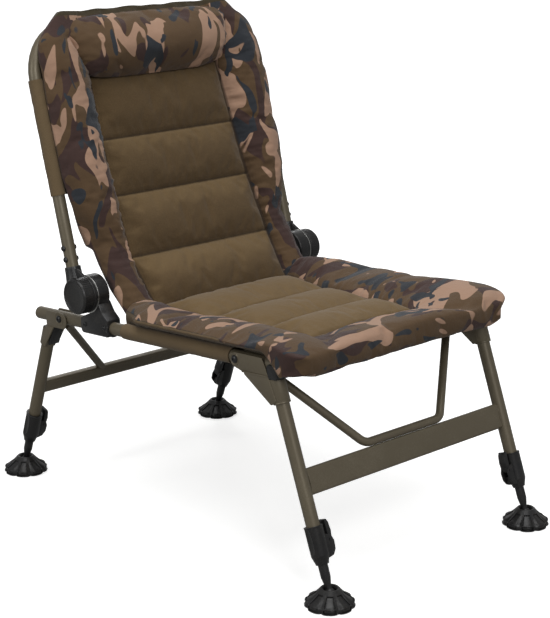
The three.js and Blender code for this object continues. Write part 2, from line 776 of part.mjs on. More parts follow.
const legFrames = [
  {
    name: 'front',
    dir: -1,
    rake: frontRake,
    setback: -frontPivotLead,
    offset: frontLegOffset,
    cheek: frontCheek,
    roundBoss: true,
    socketLength: frontSocketLength,
    gussetReach: frontCheekReach + frontCheekSlope / 2,
    addBrace: addFrontBrace,
    addFiller: addSaddle,
  },
  {
    name: 'rear',
    dir: 1,
    rake: rearRake,
    setback: rearPivotSetback,
    offset: rearLegOffset,
    cheek: rearCheek,
    roundBoss: false,
    socketLength: rearSocketLength,
    gussetReach: rearCheekReach,
    addBrace: addRearBrace,
    addFiller: addWedge,
  },
];

// Adds what follows from a leg frame's pivot: its group, its leg line and its reach to the ball
function placeLegFrame(frame) {
  const [pivotY, pivotZ] = onSeat(frame.setback, 0);
  const rake = degToRad(frame.rake);
  frame.reach = (pivotZ + frame.offset * Math.sin(rake) - ballHeight) / Math.cos(rake);
  frame.legY = frame.dir * frame.offset;
  frame.group = new THREE.Group();
  frame.group.position.set(0, pivotY, pivotZ);
  frame.group.rotation.x = frame.dir * rake;
  frame.railTurn = -pitchAngle - frame.dir * rake;
  chair.add(frame.group);
  const drop = legTopGap / Math.cos(frame.railTurn);
  frame.legTop = frame.reach + frame.legY * Math.tan(frame.railTurn) - drop;
  const across = frame.offset / Math.cos(frame.railTurn);
  frame.crossing = across - frame.dir * legTopGap * Math.tan(frame.railTurn);
}

// Height in a leg frame's group of a point given by its distance from the ball
const upLeg = (frame, distance) => distance - frame.reach;

// Turns a geometry laid out along the rail from the pivot into the leg frame's own directions
function alignedWithRail(frame, geometry) {
  return geometry.rotateX(frame.railTurn);
}

function railTool(frame, radius) {
  return solid(alignedWithRail(frame, seatTube(radius, 0).translate(0, -frame.setback, 0)));
}

// Everything above the rail-parallel plane at the given height
function aboveRail(frame, height) {
  const reach = railSpacing;
  const slab = new THREE.BoxGeometry(2 * reach, 2 * reach, reach).translate(0, 0, height + reach / 2);
  return solid(alignedWithRail(frame, slab));
}

// A point given towards the leg and above the rail, in the leg frame's own directions
function fromRail(frame, [towards, height]) {
  const [c, s] = [Math.cos(frame.railTurn), Math.sin(frame.railTurn)];
  const y = frame.dir * towards;
  return [y * c - height * s, y * s + height * c];
}

function addLeg(frame, side) {
  const [bottom, top] = [legBottom, frame.legTop + legTopGap].map((distance) => upLeg(frame, distance));
  const tube = ring(frameTubeBore, frameTubeRadius, bottom, top).translate(side.sign * railX, frame.legY, 0);
  const leg = cut(solid(tube), aboveRail(frame, -legTopGap));
  addPiece(frame.group, `${frame.name}_leg_${side.name}`, leg, 'bronze_paint');
}

function frontCheek() {
  return outline([
    [0, pressingTop * bossDropShare],
    [-pressingInset, pressingTop],
    [-frontCheekReach - frontCheekSlope / 2, pressingTop],
    [frontCheekSlope - frontCheekReach, cheekAbove],
    [0, cheekAbove],
  ]);
}

function rearCheek() {
  return outline([
    [-rearCheekTail * tailShares.bottom, pressingTop],
    [rearCheekReach, pressingTop],
    [rearCheekReach, cheekAbove * tailShares.heel],
    [rearCheekReach - bracketBoss / 2, cheekAbove],
    [-rearCheekTail * tailShares.top, cheekAbove],
    [-rearCheekTail, cheekAbove * tailShares.above],
    [-rearCheekTail, pressingTop * tailShares.below],
  ]);
}

// The cheek pairs straddle the rail; mirrored is +1 for the outer and -1 for the inner cheek
function cheekPair(frame, side, shape, thickness) {
  return [-1, 1].map((mirrored) => {
    const near = side.sign * railX + mirrored * cheekGap;
    return solid(alignedWithRail(frame, plate(shape, near, near + mirrored * thickness)));
  });
}

// A bracket holds the leg in a socket and straddles the rail with its cheeks
function addBracket(frame, side) {
  const x = side.sign * railX;
  const bottom = frame.legTop - frame.socketLength;
  const socket = ring(socketBore, socketOuter, upLeg(frame, bottom), upLeg(frame, frame.legTop + legTopGap));
  const parts = [
    cut(solid(socket.translate(x, frame.legY, 0)), aboveRail(frame, -legTopGap)),
    ...cheekPair(frame, side, frame.cheek(frame), cheekThickness),
    ...lowerPressing(frame, side, bottom),
  ];
  if (frame.roundBoss) {
    const boss = rodAlongX(bracketBoss, x - cheekGap - cheekThickness, x + cheekGap + cheekThickness, 0, 0);
    parts.push(cut(boss, block([x - cheekGap, -railX, -railX], [x + cheekGap, railX, railX])));
  }
  const legRoom = rodAlongZ(socketBore, upLeg(frame, collarTop), overrun, x, frame.legY, tubeSides);
  const hole = rodAlongX(pivotRadius + fit, x - railX / 2, x + railX / 2, 0, 0);
  const bracket = cut(joined(...parts), legRoom, railTool(frame, frameTubeRadius + fit), hole);
  addPiece(frame.group, `${frame.name}_bracket_${side.name}`, bracket, 'bronze_paint');
}

// Gusset between the cheek and the socket, a little prouder than the cheek, with a web below it
function lowerPressing(frame, side, socketBottomEnd) {
  const d = frame.dir;
  const socketLow = [frame.legY, upLeg(frame, socketBottomEnd)];
  const inset = Math.min(frame.crossing - socketOuter, frame.roundBoss ? pressingInset : frame.crossing);
  const start = fromRail(frame, [inset, pressingTop]);
  const end = fromRail(frame, [frame.gussetReach, pressingTop]);
  const nearSocket = [socketLow[0] - d * (socketOuter - webThickness), socketLow[1]];
  const x = side.sign * railX;
  const shape = outline([start, end, socketLow, nearSocket]);
  const plates = [-1, 1].map((mirrored) => {
    const near = x + mirrored * cheekGap;
    return solid(plate(shape, near, near + mirrored * pressingThickness));
  });
  if (!frame.roundBoss) return plates;
  const webStart = start.map((value, k) => lerp(value, nearSocket[k], webStartShare));
  const web = outline([
    webStart,
    [webStart[0] + d * webThickness, webStart[1] + webThickness],
    [nearSocket[0] + d * webThickness, nearSocket[1] + webThickness],
    nearSocket,
  ]);
  return [...plates, solid(plate(web, x - cheekGap, x + cheekGap))];
}

// The saddle sits on the front leg's top and cradles the rail
function addSaddle(frame, side) {
  const x = side.sign * railX;
  const leg = frame.crossing;
  const d = frame.dir;
  const low = -legTopGap + fit;
  const cradle = outline([
    [d * (leg - saddleNear), low],
    [d * (leg + saddleFar), low],
    [d * (leg + saddleFar), saddleRise],
    [d * (leg - saddleNear / 2), saddleRise],
    [d * (leg - saddleNear), low + fit],
  ]);
  const body = solid(alignedWithRail(frame, plate(cradle, x - saddleHalfWidth, x + saddleHalfWidth)));
  const room = cheekPair(frame, side, outline([
    [0, -frameTubeRadius * 2],
    [d * (frontCheekReach + frontCheekSlope), -frameTubeRadius * 2],
    [d * frontCheekReach, cheekAbove],
    [0, cheekAbove],
  ]), saddleHalfWidth);
  const saddle = cut(body, railTool(frame, frameTubeRadius + 2 * fit), ...room);
  addPiece(frame.group, `front_saddle_${side.name}`, saddle, 'black_plastic');
}

// The wedge stands ahead of the rear leg, between the cheeks
function addWedge(frame, side) {
  const x = side.sign * railX;
  const d = frame.dir;
  const near = d * wedgeLead;
  const far = frame.legY - d * (socketOuter + fit);
  const top = (y) => (wedgeTop + y * d * Math.sin(frame.railTurn)) / Math.cos(frame.railTurn);
  const foot = top(far) - wedgeDrop;
  const shape = outline([[near, top(near)], [far, top(far)], [far, foot], [far - d * webThickness, foot]]);
  const wedge = solid(plate(shape, x - wedgeHalfWidth, x + wedgeHalfWidth));
  addPiece(frame.group, `rear_wedge_${side.name}`, wedge, 'black_plastic');
}

// A flat tube from leg to leg, open at both ends
function braceTube(frame, bottom, height, depth) {
  const reach = railX;
  const skin = solid(plate(roundedSlab(bottom, height, depth, frame.legY, 0), -reach, reach));
  const inside = roundedSlab(bottom, height, depth, frame.legY, braceWall);
  const hollow = solid(plate(inside, -reach - overrun, reach + overrun));
  return cut(skin, hollow, ...legTools(frame));
}

function roundedSlab(bottom, height, depth, centreY, inset) {
  const shape = new THREE.Shape();
  const [low, high] = [bottom + inset, bottom + height - inset];
  const [near, far] = [centreY - depth / 2 + inset, centreY + depth / 2 - inset];
  shape.moveTo(near + braceCorner, low);
  shape.lineTo(far - braceCorner, low);
  shape.lineTo(far, low + braceCorner);
  shape.lineTo(far, high - braceCorner);
  shape.lineTo(far - braceCorner, high);
  shape.lineTo(near + braceCorner, high);
  shape.lineTo(near, high - braceCorner);
  shape.lineTo(near, low + braceCorner);
  return shape;
}

function legTools(frame) {
  const [low, high] = [upLeg(frame, legBottom), upLeg(frame, frame.legTop)];
  const radius = frameTubeRadius + fit;
  return sides.map(({ sign }) => rodAlongZ(radius, low, high, sign * railX, frame.legY, tubeSides));
}

function addFrontBrace(frame) {
  const tube = braceTube(frame, upLeg(frame, frontBraceBottom), frontBraceHeight, frontBraceDepth);
  addPiece(frame.group, 'front_brace', tube, 'bronze_paint');
  addFrontStay(frame);
}

// A bent bar from the inner cheeks by the pivots to its bottom run on top of the brace
function addFrontStay(frame) {
  const end = railX - cheekGap - cheekThickness - fit;
  const runHeight = upLeg(frame, frontBraceBottom + frontBraceHeight) + stayRadius + fit;
  const [topY, topZ] = fromRail(frame, frontStayTop);
  const corners = [
    [-end, topY, topZ],
    [-frontStayRun, frame.legY, runHeight],
    [frontStayRun, frame.legY, runHeight],
    [end, topY, topZ],
  ];
  const across = new THREE.Vector3(end - frontStayRun, topY - frame.legY, topZ - runHeight);
  const up = new THREE.Vector3(1, 0, 0).cross(across);
  const bar = solid(bentTube(corners, stayBend, stayRadius, stayBore, up.toArray(), rodSides));
  const limit = block([-end, -frame.reach, -frame.reach], [end, frame.reach, frame.reach]);
  const pressingRooms = sides.map((side) => roomBesidePressing(frame, side));
  addPiece(frame.group, 'front_stay_bar', cut(bar.intersect(limit), ...pressingRooms), 'bronze_paint');
}

// The room that a stay's end leaves for the thicker steel of the lower pressing
function roomBesidePressing(frame, side) {
  const reach = frontCheekReach * 2;
  const top = pressingTop + fit;
  const below = outline([[-reach, -reach], [reach, -reach], [reach, top], [-reach, top]]);
  const near = side.sign * (railX - cheekGap - pressingThickness - fit);
  return solid(alignedWithRail(frame, plate(below, near, side.sign * railX)));
}

function addRearBrace(frame) {
  const top = upLeg(frame, rearBraceBottom + rearBraceHeight);
  const end = railX - cheekGap - cheekThickness - fit;
  const [topY, topZ] = fromRail(frame, rearStayTop);
  const stays = sides.map(({ sign }) => {
    const foot = [sign * rearStayFoot, frame.legY, top - stayRadius];
    const corners = [foot, [sign * (end + stayRadius), topY, topZ]];
    return solid(bentTube(corners, stayBend, stayRadius, 0, [0, 1, 0], rodSides));
  });
  const limit = block([-end, -frame.reach, -frame.reach], [end, frame.reach, frame.reach]);
  const brace = braceTube(frame, upLeg(frame, rearBraceBottom), rearBraceHeight, rearBraceDepth);
  const trimmed = stays.map((stay) => stay.intersect(limit));
  addPiece(frame.group, 'rear_brace', joined(brace, ...trimmed), 'bronze_paint');
}

function addPivotBolt(frame, side) {
  const x = side.sign * railX;
  const face = cheekGap + cheekThickness + fit;
  const [y, z] = [frame.setback, 0];
  const bolt = joined(
    rodAlongX(pivotRadius, x - face - pivotHeadDepth / 2, x + face + pivotHeadDepth / 2, y, z, boltSides),
    rodAlongX(pivotHeadRadius, x + side.sign * face, x + side.sign * (face + pivotHeadDepth), y, z),
    rodAlongX(pivotHeadRadius, x - side.sign * face, x - side.sign * (face + pivotHeadDepth), y, z, hexSides),
  );
  addPiece(seat, `${frame.name}_pivot_bolt_${side.name}`, bolt, 'black_steel');
}

// Telescopic foot of one leg

function addCollar(frame, side) {
  const x = side.sign * railX;
  const at = (distance) => upLeg(frame, distance);
  const body = turned([
    [0, at(collarBottom)],
    [collarThroat, at(collarBottom)],
    [collarRadius, at(collarBottom + collarShoulder)],
    [collarRadius, at(collarTop)],
    [0, at(collarTop)],
  ], tubeSides);
  const inward = -side.sign;
  const ears = [-1, 1].map((which) => {
    const near = which * (leverWidth / 2 + fit);
    const ear = new THREE.Shape();
    ear.moveTo(0, at(leverHeight) - earRadius);
    ear.lineTo(inward * leverAxis, at(leverHeight) - earRadius);
    ear.lineTo(inward * (leverAxis + earRadius), at(leverHeight));
    ear.lineTo(inward * leverAxis, at(leverHeight) + earRadius);
    ear.lineTo(0, at(leverHeight) + earRadius);
    const slab = new THREE.ExtrudeGeometry(ear, { depth: earWidth, bevelEnabled: false });
    return solid(slab.rotateX(Math.PI / 2).translate(0, near + (which > 0 ? earWidth : 0), 0));
  });
  const [mouth, top] = [at(collarBottom) - overrun, at(collarTop)];
  const tubeRoom = rodAlongZ(frameTubeRadius + fit, at(legBottom) - fit, top + overrun, 0, 0, tubeSides);
  const slideRoom = rodAlongZ(innerLegRadius + slideGap, mouth, top, 0, 0, tubeSides);
  const barrel = rodAlongZ(leverBarrel + fit, -leverWidth / 2 - fit, leverWidth / 2 + fit, 0, 0);
  const barrelRoom = barrel.rotate([90, 0, 0]).translate([inward * leverAxis, 0, at(leverHeight)]);
  const pinReach = leverWidth / 2 + earWidth + overrun;
  const pin = rodAlongZ(leverPin + fit, -pinReach, pinReach, 0, 0);
  const pinRoom = pin.rotate([90, 0, 0]).translate([inward * leverAxis, 0, at(leverHeight)]);
  const shape = cut(joined(solid(body), ...ears), tubeRoom, slideRoom, barrelRoom, pinRoom);
  const collar = shape.translate([x, frame.legY, 0]);
  addPiece(frame.group, `${frame.name}_collar_${side.name}`, collar, 'black_plastic');
}

function addLever(frame, side) {
  const inward = -side.sign;
  const centre = [side.sign * railX + inward * leverAxis, frame.legY, upLeg(frame, leverHeight)];
  const barrel = rodAlongZ(leverBarrel, -leverWidth / 2, leverWidth / 2, 0, 0).rotate([90, 0, 0]);
  const pinReach = leverWidth / 2 + earWidth;
  const pin = rodAlongZ(leverPin, -pinReach, pinReach, 0, 0).rotate([90, 0, 0]);
  const neck = block(
    [-leverBarrel * leverNeckShare, -leverWidth / 2, 0],
    [leverBarrel * leverNeckShare, leverWidth / 2, leverNeck + fit],
  );
  const [low, high] = [leverNeck, leverNeck + leverArmLength];
  const arm = outline(leverArmShares.map(([out, up]) => [leverThickness * out, lerp(low, high, up)]));
  const slab = new THREE.ExtrudeGeometry(arm, { depth: leverArmWidth, bevelEnabled: false });
  slab.rotateX(Math.PI / 2).translate(0, leverArmWidth / 2, 0);
  const lever = joined(barrel, pin, neck, solid(slab));
  const facing = inward > 0 ? lever : lever.rotate([0, 0, 180]);
  addPiece(frame.group, `${frame.name}_lever_${side.name}`, facing.translate(centre), 'black_plastic');
}

function addInnerLeg(frame, side) {
  const at = (distance) => upLeg(frame, distance);
  const profile = [[0, at(-ballRadius)]];
  const neckStart = Math.asin(neckRadius / ballRadius);
  for (let step = 1; step < bendSteps; step += 1) {
    const angle = lerp(-Math.PI / 2, Math.PI / 2 - neckStart, step / bendSteps);
    profile.push([ballRadius * Math.cos(angle), at(ballRadius * Math.sin(angle))]);
  }
  profile.push(
    [neckRadius, at(ballRadius * Math.cos(neckStart))],
    [neckRadius, at(neckLength)],
    [innerLegRadius, at(taperTop)],
    [innerLegRadius, at(innerLegTop - bushLength)],
    [bushRadius, at(innerLegTop - bushLength)],
    [bushRadius, at(innerLegTop)],
    [0, at(innerLegTop)],
  );
  const leg = turned(profile, rodSides).translate(side.sign * railX, frame.legY, 0);
  addPiece(frame.group, `${frame.name}_inner_leg_${side.name}`, solid(leg), 'black_plastic');
}

// The dome is a stack of lobed rings; the ball's socket is cut out of it
function lobedDome() {
  const around = footLobes * 3;
  const positions = [];
  for (const [radiusShare, heightShare] of footRingShares) {
    for (let k = 0; k < around; k += 1) {
      const angle = (2 * Math.PI * k) / around;
      const dip = footLobeDepth * radiusShare * (1 - Math.abs(Math.cos((footLobes * angle) / 2)));
      const radius = footRadius * radiusShare - dip;
      positions.push(radius * Math.cos(angle), radius * Math.sin(angle), footHeight * heightShare);
    }
  }
  const top = footRingShares.length * around;
  positions.push(0, 0, 0, 0, 0, footHeight);
  const index = [];
  for (let k = 0; k < around; k += 1) {
    const next = (k + 1) % around;
    for (let ringAt = 0; ringAt < footRingShares.length - 1; ringAt += 1) {
      const [low, high] = [ringAt * around, (ringAt + 1) * around];
      index.push(low + k, low + next, high + next, low + k, high + next, high + k);
    }
    index.push(next, k, top, top - around + k, top - around + next, top + 1);
  }
  const geometry = new THREE.BufferGeometry();
  geometry.setAttribute('position', new THREE.Float32BufferAttribute(positions, 3));
  geometry.setIndex(index);
  return geometry;
}

function footShape() {
  const ballRoom = new THREE.SphereGeometry(ballRadius + footSocketGap, rodSides, boltSides);
  const mouth = footHeight * Math.tan(degToRad(footMouth));
  const funnel = turned([[0, 0], [mouth, footHeight], [0, footHeight]], rodSides);
  const tools = [ballRoom.rotateX(Math.PI / 2), funnel];
  return cut(solid(lobedDome()), ...tools.map((tool) => solid(tool.translate(0, 0, ballHeight))));
}

function addFoot(frame, side) {
  const foot = new THREE.Group();
  const ball = new THREE.Vector3(side.sign * railX, frame.legY, -frame.reach);
  ball.applyEuler(frame.group.rotation).add(frame.group.position);
  foot.position.set(ball.x, ball.y, ball.z - ballHeight);
  chair.add(foot);
  addPiece(foot, `${frame.name}_foot_${side.name}`, footShape(), 'black_plastic');
}

// Mattress

function seatHalfWidth(setback) {
  const start = seatSeams[0];
  if (setback > padWaistStart) {
    const share = (setback - padWaistStart) / (start - padWaistStart);
    return lerp(padHalfWidth, padWaist, Math.sqrt(Math.min(share, 1)));
  }
  const past = padCorner - (padFront + setback);
  if (past <= 0) return padHalfWidth;
  return padHalfWidth - padCorner + Math.sqrt(Math.max(padCorner ** 2 - past ** 2, 0));
}

function addSeatPad() {
  const frontSeam = seatSeams[seatSeams.length - 1];
  const rows = rowPlaces(seatSeams);
  for (const share of frontRowShares) {
    rows.push({ place: lerp(frontSeam, -padFront, share), share: 0, bolster: share });
  }
  const heightOf = (row, column) => {
    const seam = along(seatSeams, seatSeamHeights, row.place);
    const frontFall = (row.bolster ?? 0) ** 3;
    const frontCrown = swell((row.bolster ?? 0) * frontCrownShare);
    if (!column.onBolster) {
      if (!row.bolster) return seam + channelCrown * swell(row.share) * column.panel;
      return lerp(seam, padFrontTop, frontFall) + bolsterCrown * frontCrown;
    }
    const rim = lerp(padEdgeTop, padFrontTop, frontFall);
    const inner = lerp(seam, padFrontTop, frontFall);
    const crown = Math.max(swell(column.bolster), frontCrown);
    const fade = 1 - (row.bolster ?? 0) ** squarePower;
    return lerp(rim, inner, column.bolster ** 2) + bolsterCrown * crown * fade;
  };
  const placed = (c, r) => {
    const row = rows[r];
    const panelHalf = along(seatSeams, seatPanelHalves, row.place);
    return { row, column: padColumn(c, seatHalfWidth(row.place), panelHalf) };
  };
  const front = (c, r) => {
    const { row, column } = placed(c, r);
    const height = heightOf(row, column);
    const mitre = r === 0 ? creaseMitre * (height - seatSeamHeights[0]) : 0;
    return [column.x, row.place - mitre, height];
  };
  const sleeveEdge = railX - frameTubeRadius - fit - sleeveThickness - fit;
  const back = (c, r) => {
    const { row, column } = placed(c, r);
    const outside = Math.abs(column.x);
    const low = outside > sleeveEdge ? padUnderSleeve : padUnderSling;
    const rim = Math.max((outside - railX) / (padHalfWidth - railX), 0);
    return [column.x, row.place, Math.max(low, lerp(low, padEdgeBottom, rim))];
  };
  const body = solid(quilted(padColumns, rows.length - 1, front, back));
  const half = railX + frameTubeRadius / 2;
  const pocket = block(
    [-half, -padFront + 2 * fit + padCorner / 4, -pocketBottom],
    [half, -pocketStart, padUnderSleeve + overrun],
  );
  const side = sides.map(({ sign }) => block(
    [sign * railX - frameTubeRadius - fit, -pocketStart, -pocketBottom],
    [sign * railX + frameTubeRadius + fit, padCorner - pocketStart, padUnderSleeve],
  ));
  const [roomFront, roomRear] = [-pocketStart + overrun, sleeveRear + overrun];
  const sleeveRoom = sides.map(({ sign }) => {
    const room = cylinderAlongZ(padUnderSleeve - fit, roomFront, roomRear, tubeSides);
    return solid(room.rotateX(-Math.PI / 2).translate(sign * railX, 0, 0));
  });
  const pad = cut(joined(body, pocket), solid(seatTube(frameTubeRadius + fit, 0)), ...sleeveRoom, ...side);
  addPiece(seat, 'seat_pad', pad, 'camo_fabric');
}

// Rear face of the back mattress: on the sling inside the back tube, on the sleeves beside it
function backRest(x, height) {
  const across = Math.abs(x) - (uprightX - backTubeBend);
  const up = height - (backTop - backTubeBend);
  const straight = Math.min(uprightX - Math.abs(x), backTop - height);
  const inside = across > 0 && up > 0 ? backTubeBend - Math.hypot(across, up) : straight;
  const sleeveOuter = frameTubeRadius + fit + sleeveThickness;
  const share = (inside - sleeveOuter - fit) / restSlope;
  return lerp(backRestPlane, backSagPlane, Math.min(Math.max(share, 0), 1));
}

function addBackPad() {
  const lastSeam = backSeams[backSeams.length - 1];
  const rows = rowPlaces(backSeams);
  for (const share of topRowShares) {
    rows.push({ place: lerp(lastSeam, backPadTop, share), share: 0, bolster: share });
  }
  const placed = (c, r) => {
    const row = rows[r];
    const half = uprightX - along(backEdgeHeights, backEdgeInsets, row.place);
    return { row, column: padColumn(c, half, along(backSeams, backPanelHalves, row.place)) };
  };
  const rearOf = (row, column) => {
    const seam = along(backSeams, backSeamDepths, row.place);
    if (row.place < backSleeveBottom) return Math.min(seam + backPadThickness, backRestPlane);
    return backRest(column.x, row.place);
  };
  const front = (c, r) => {
    const { row, column } = placed(c, r);
    const seam = along(backSeams, backSeamDepths, row.place);
    const low = Math.min(seam, backRestPlane - 2 * sleeveThickness);
    if (row.bolster && !column.onBolster) return [column.x, pillowRecess, row.place];
    if (!column.onBolster) return [column.x, low - channelCrown * swell(row.share) * column.panel, row.place];
    const rim = Math.min(backEdgeFront, rearOf(row, column) - backEdgeThickness / 2);
    const topFade = 1 - (row.bolster ?? 0) ** topPower;
    const bolster = along(backEdgeHeights, backBolsters, row.place);
    const depth = lerp(rim, low, column.bolster ** 2) - bolster * swell(column.bolster) * topFade;
    return [column.x, depth, row.place];
  };
  const back = (c, r) => {
    const { row, column } = placed(c, r);
    return [column.x, rearOf(row, column), row.place];
  };
  const pillowRoom = block(
    [-pillowTopHalf - 2 * fit, -pillowThickness * 2, pillowBottom - 2 * fit],
    [pillowTopHalf + 2 * fit, pillowRecess, backPadTop + overrun],
  );
  const pad = cut(solid(quilted(padColumns, rows.length - 1, front, back)), pillowRoom);
  addPiece(backrest, 'back_pad', pad, 'camo_fabric');
}

function addLumbarPad() {
  const rows = rowPlaces(lumbarSeams);
  const placed = (c, r) => {
    const row = rows[r];
    const half = drumInner - along(lumbarSeams, lumbarInsets, row.place);
    return { row, column: padColumn(c, half, along(lumbarSeams, lumbarPanelHalves, row.place)) };
  };
  const front = (c, r) => {
    const { row, column } = placed(c, r);
    const seam = along(lumbarSeams, lumbarDepths, row.place);
    const crown = channelCrown * (row.place > lumbarSeams[1] ? upperLumbarShare : 1);
    if (!column.onBolster) return [column.x, seam - crown * swell(row.share) * column.panel, row.place];
    const rise = bolsterCrown * swell(column.bolster);
    const mitre = r === 0 ? creaseMitre * rise : 0;
    return [column.x, seam - rise, row.place + mitre];
  };
  const back = (c, r) => {
    const { row, column } = placed(c, r);
    return [column.x, along(lumbarSeams, lumbarDepths, row.place) + lumbarThickness, row.place];
  };
  const pad = solid(quilted(padColumns, rows.length - 1, front, back));
  addPiece(backrest, 'lumbar_pad', pad, 'camo_fabric');
}

// The pillow is round in section, with its ends drawn in
function addPillow() {
  const shape = (c, r) => {
    const across = (2 * c) / pillowColumns - 1;
    const up = (2 * r) / pillowRows - 1;
    const ends = Math.sqrt(Math.max(1 - Math.abs(across) ** pillowPowers.across, 0));
    const rise = Math.sqrt(Math.max(1 - Math.abs(up) ** pillowPowers.up, 0));
    const middle = (pillowBottom + pillowTop) / 2;
    const reach = ((pillowTop - pillowBottom) / 2) * lerp(pillowEndShares.height, 1, ends);
    const half = lerp(pillowBottomHalf, pillowTopHalf, (up + 1) / 2);
    return { x: half * across, z: middle + reach * up, swelling: ends * rise };
  };
  const front = (c, r) => {
    const { x, z, swelling } = shape(c, r);
    return [x, pillowBack - fit - pillowThickness * lerp(pillowEndShares.depth, 1, swelling), z];
  };
  const back = (c, r) => {
    const { x, z } = shape(c, r);
    return [x, pillowBack, z];
  };
  const pillow = solid(quilted(pillowColumns, pillowRows, front, back));
  addPiece(backrest, 'head_pillow', pillow, 'camo_fabric');
}

// The whole chair

addSeatTube();
addSeatSling();
addSeatPad();
addBackTube();
addBackSling();
addBackPad();
addLumbarPad();
addPillow();
for (const side of sides) {
  addEndCap(side);
  addKnuckle(side);
  addKnob(side);
  addKnuckleArm(side);
  addCrossBolt(side, 'lower', boltHeights[0]);
  addCrossBolt(side, 'upper', boltHeights[1]);
}
for (const frame of legFrames) {
  placeLegFrame(frame);
  frame.addBrace(frame);
  for (const side of sides) {
    addLeg(frame, side);
    addBracket(frame, side);
    frame.addFiller(frame, side);
    addPivotBolt(frame, side);
    addCollar(frame, side);
    addLever(frame, side);
    addInnerLeg(frame, side);
    addFoot(frame, side);
  }
}

export default chair;
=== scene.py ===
"""The dressed carp fishing chair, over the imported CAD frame.

Pieces are modelled in millimetres in the frame of the group that carries them (seat, backrest,
front legs, rear legs), as in the part's source, and then placed in the chair's frame in metres."""

import math

import bmesh
import bpy
import numpy as np
from mathutils import Matrix, Vector, noise


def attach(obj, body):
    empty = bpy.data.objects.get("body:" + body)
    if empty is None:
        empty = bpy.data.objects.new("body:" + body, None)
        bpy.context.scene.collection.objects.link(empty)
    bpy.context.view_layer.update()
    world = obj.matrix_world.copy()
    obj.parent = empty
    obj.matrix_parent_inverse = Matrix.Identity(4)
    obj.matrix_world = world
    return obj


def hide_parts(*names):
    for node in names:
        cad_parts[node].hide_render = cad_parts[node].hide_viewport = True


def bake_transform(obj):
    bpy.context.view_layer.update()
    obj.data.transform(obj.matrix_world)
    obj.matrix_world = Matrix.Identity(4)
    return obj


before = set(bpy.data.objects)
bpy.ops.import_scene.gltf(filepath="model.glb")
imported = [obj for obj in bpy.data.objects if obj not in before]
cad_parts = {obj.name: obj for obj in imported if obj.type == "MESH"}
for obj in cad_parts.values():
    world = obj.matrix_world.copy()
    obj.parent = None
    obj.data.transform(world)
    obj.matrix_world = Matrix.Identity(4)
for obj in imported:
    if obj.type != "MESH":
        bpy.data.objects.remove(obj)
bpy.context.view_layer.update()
scene = bpy.context.scene

# Groups: origin (y, z) in mm and turn about X in degrees

GROUPS = {
    "seat": (0, 338.2, -3.9),
    "back": (175.99, 382.03, -15.8),
    "front": (-197.04, 351.63, -20.7),
    "rear": (259.0, 320.54, 18.8),
}
TUBE = 11  # radius of the rails, uprights and legs
RAIL_X = 235  # centre of a side rail, and of the legs
RAIL_REAR, RAIL_FRONT = 331.8, -319
UPRIGHT_X = 250
UPRIGHT_SETBACK = 24
BACK_CROWN = 455  # centre of the top cross tube, above the hinge
BACK_BEND = 85
HINGE = (172.6, 55.7)


def group_matrix(group):
    y, z, turn = GROUPS[group]
    place = Matrix.Translation((0, y, z)) @ Matrix.Rotation(math.radians(turn), 4, "X")
    return Matrix.Scale(0.001, 4) @ place


def lerp(a, b, share):
    return a + (b - a) * share


# Shader nodes

class Graph:
    """Adds nodes to a material's or group's tree."""

    def __init__(self, tree):
        self.tree = tree

    def add(self, kind, inputs=None, **settings):
        node = self.tree.nodes.new(kind)
        for key, value in settings.items():
            setattr(node, key, value)
        for key, value in (inputs or {}).items():
            if isinstance(value, bpy.types.NodeSocket):
                self.tree.links.new(value, node.inputs[key])
            else:
                node.inputs[key].default_value = value
        return node

    def math(self, operation, *values):
        return self.add("ShaderNodeMath", dict(enumerate(values)), operation=operation).outputs[0]

    def step(self, value, low, high, a=0.0, b=1.0):
        """Goes smoothly from a to b while the value goes from low to high."""
        inputs = {"Value": value, "From Min": low, "From Max": high, "To Min": a, "To Max": b}
        node = self.add("ShaderNodeMapRange", inputs, interpolation_type="SMOOTHSTEP")
        return node.outputs["Result"]

    def mix(self, share, a, b):
        return self.add("ShaderNodeMix", {0: share, 6: a, 7: b}, data_type="RGBA").outputs[2]

    def noise(self, vector, scale, detail=2.0, rough=0.5, distortion=0.0):
        inputs = {"Vector": vector, "Scale": scale, "Detail": detail, "Roughness": rough,
                  "Distortion": distortion}
        return self.add("ShaderNodeTexNoise", inputs).outputs["Fac"]

    def shift(self, vector, offset, scale=(1, 1, 1)):
        inputs = {0: vector, 1: scale, 2: offset}
        return self.add("ShaderNodeVectorMath", inputs, operation="MULTIPLY_ADD").outputs[0]

    def attribute(self, name, output="Fac"):
        return self.add("ShaderNodeAttribute", attribute_name=name).outputs[output]


def srgb(*values):
    """A colour as it is seen, 0 to 255, in Blender's linear values."""
    linear = [v / 3294.6 if v <= 10.31 else ((v / 255 + 0.055) / 1.055) ** 2.4 for v in values]
    return (*linear, 1.0)


def node_group(name, build, inputs, outputs):
    """A shader node group; inputs and outputs are (name, kind of socket) pairs."""
    tree = bpy.data.node_groups.new(name, "ShaderNodeTree")
    for way, sockets in (("INPUT", inputs), ("OUTPUT", outputs)):
        for key, kind in sockets:
            tree.interface.new_socket(key, in_out=way, socket_type=f"NodeSocket{kind}")
    graph = Graph(tree)
    given = graph.add("NodeGroupInput")
    result = graph.add("NodeGroupOutput")
    for key, socket in build(graph, given.outputs).items():
        tree.links.new(socket, result.inputs[key])
    return tree


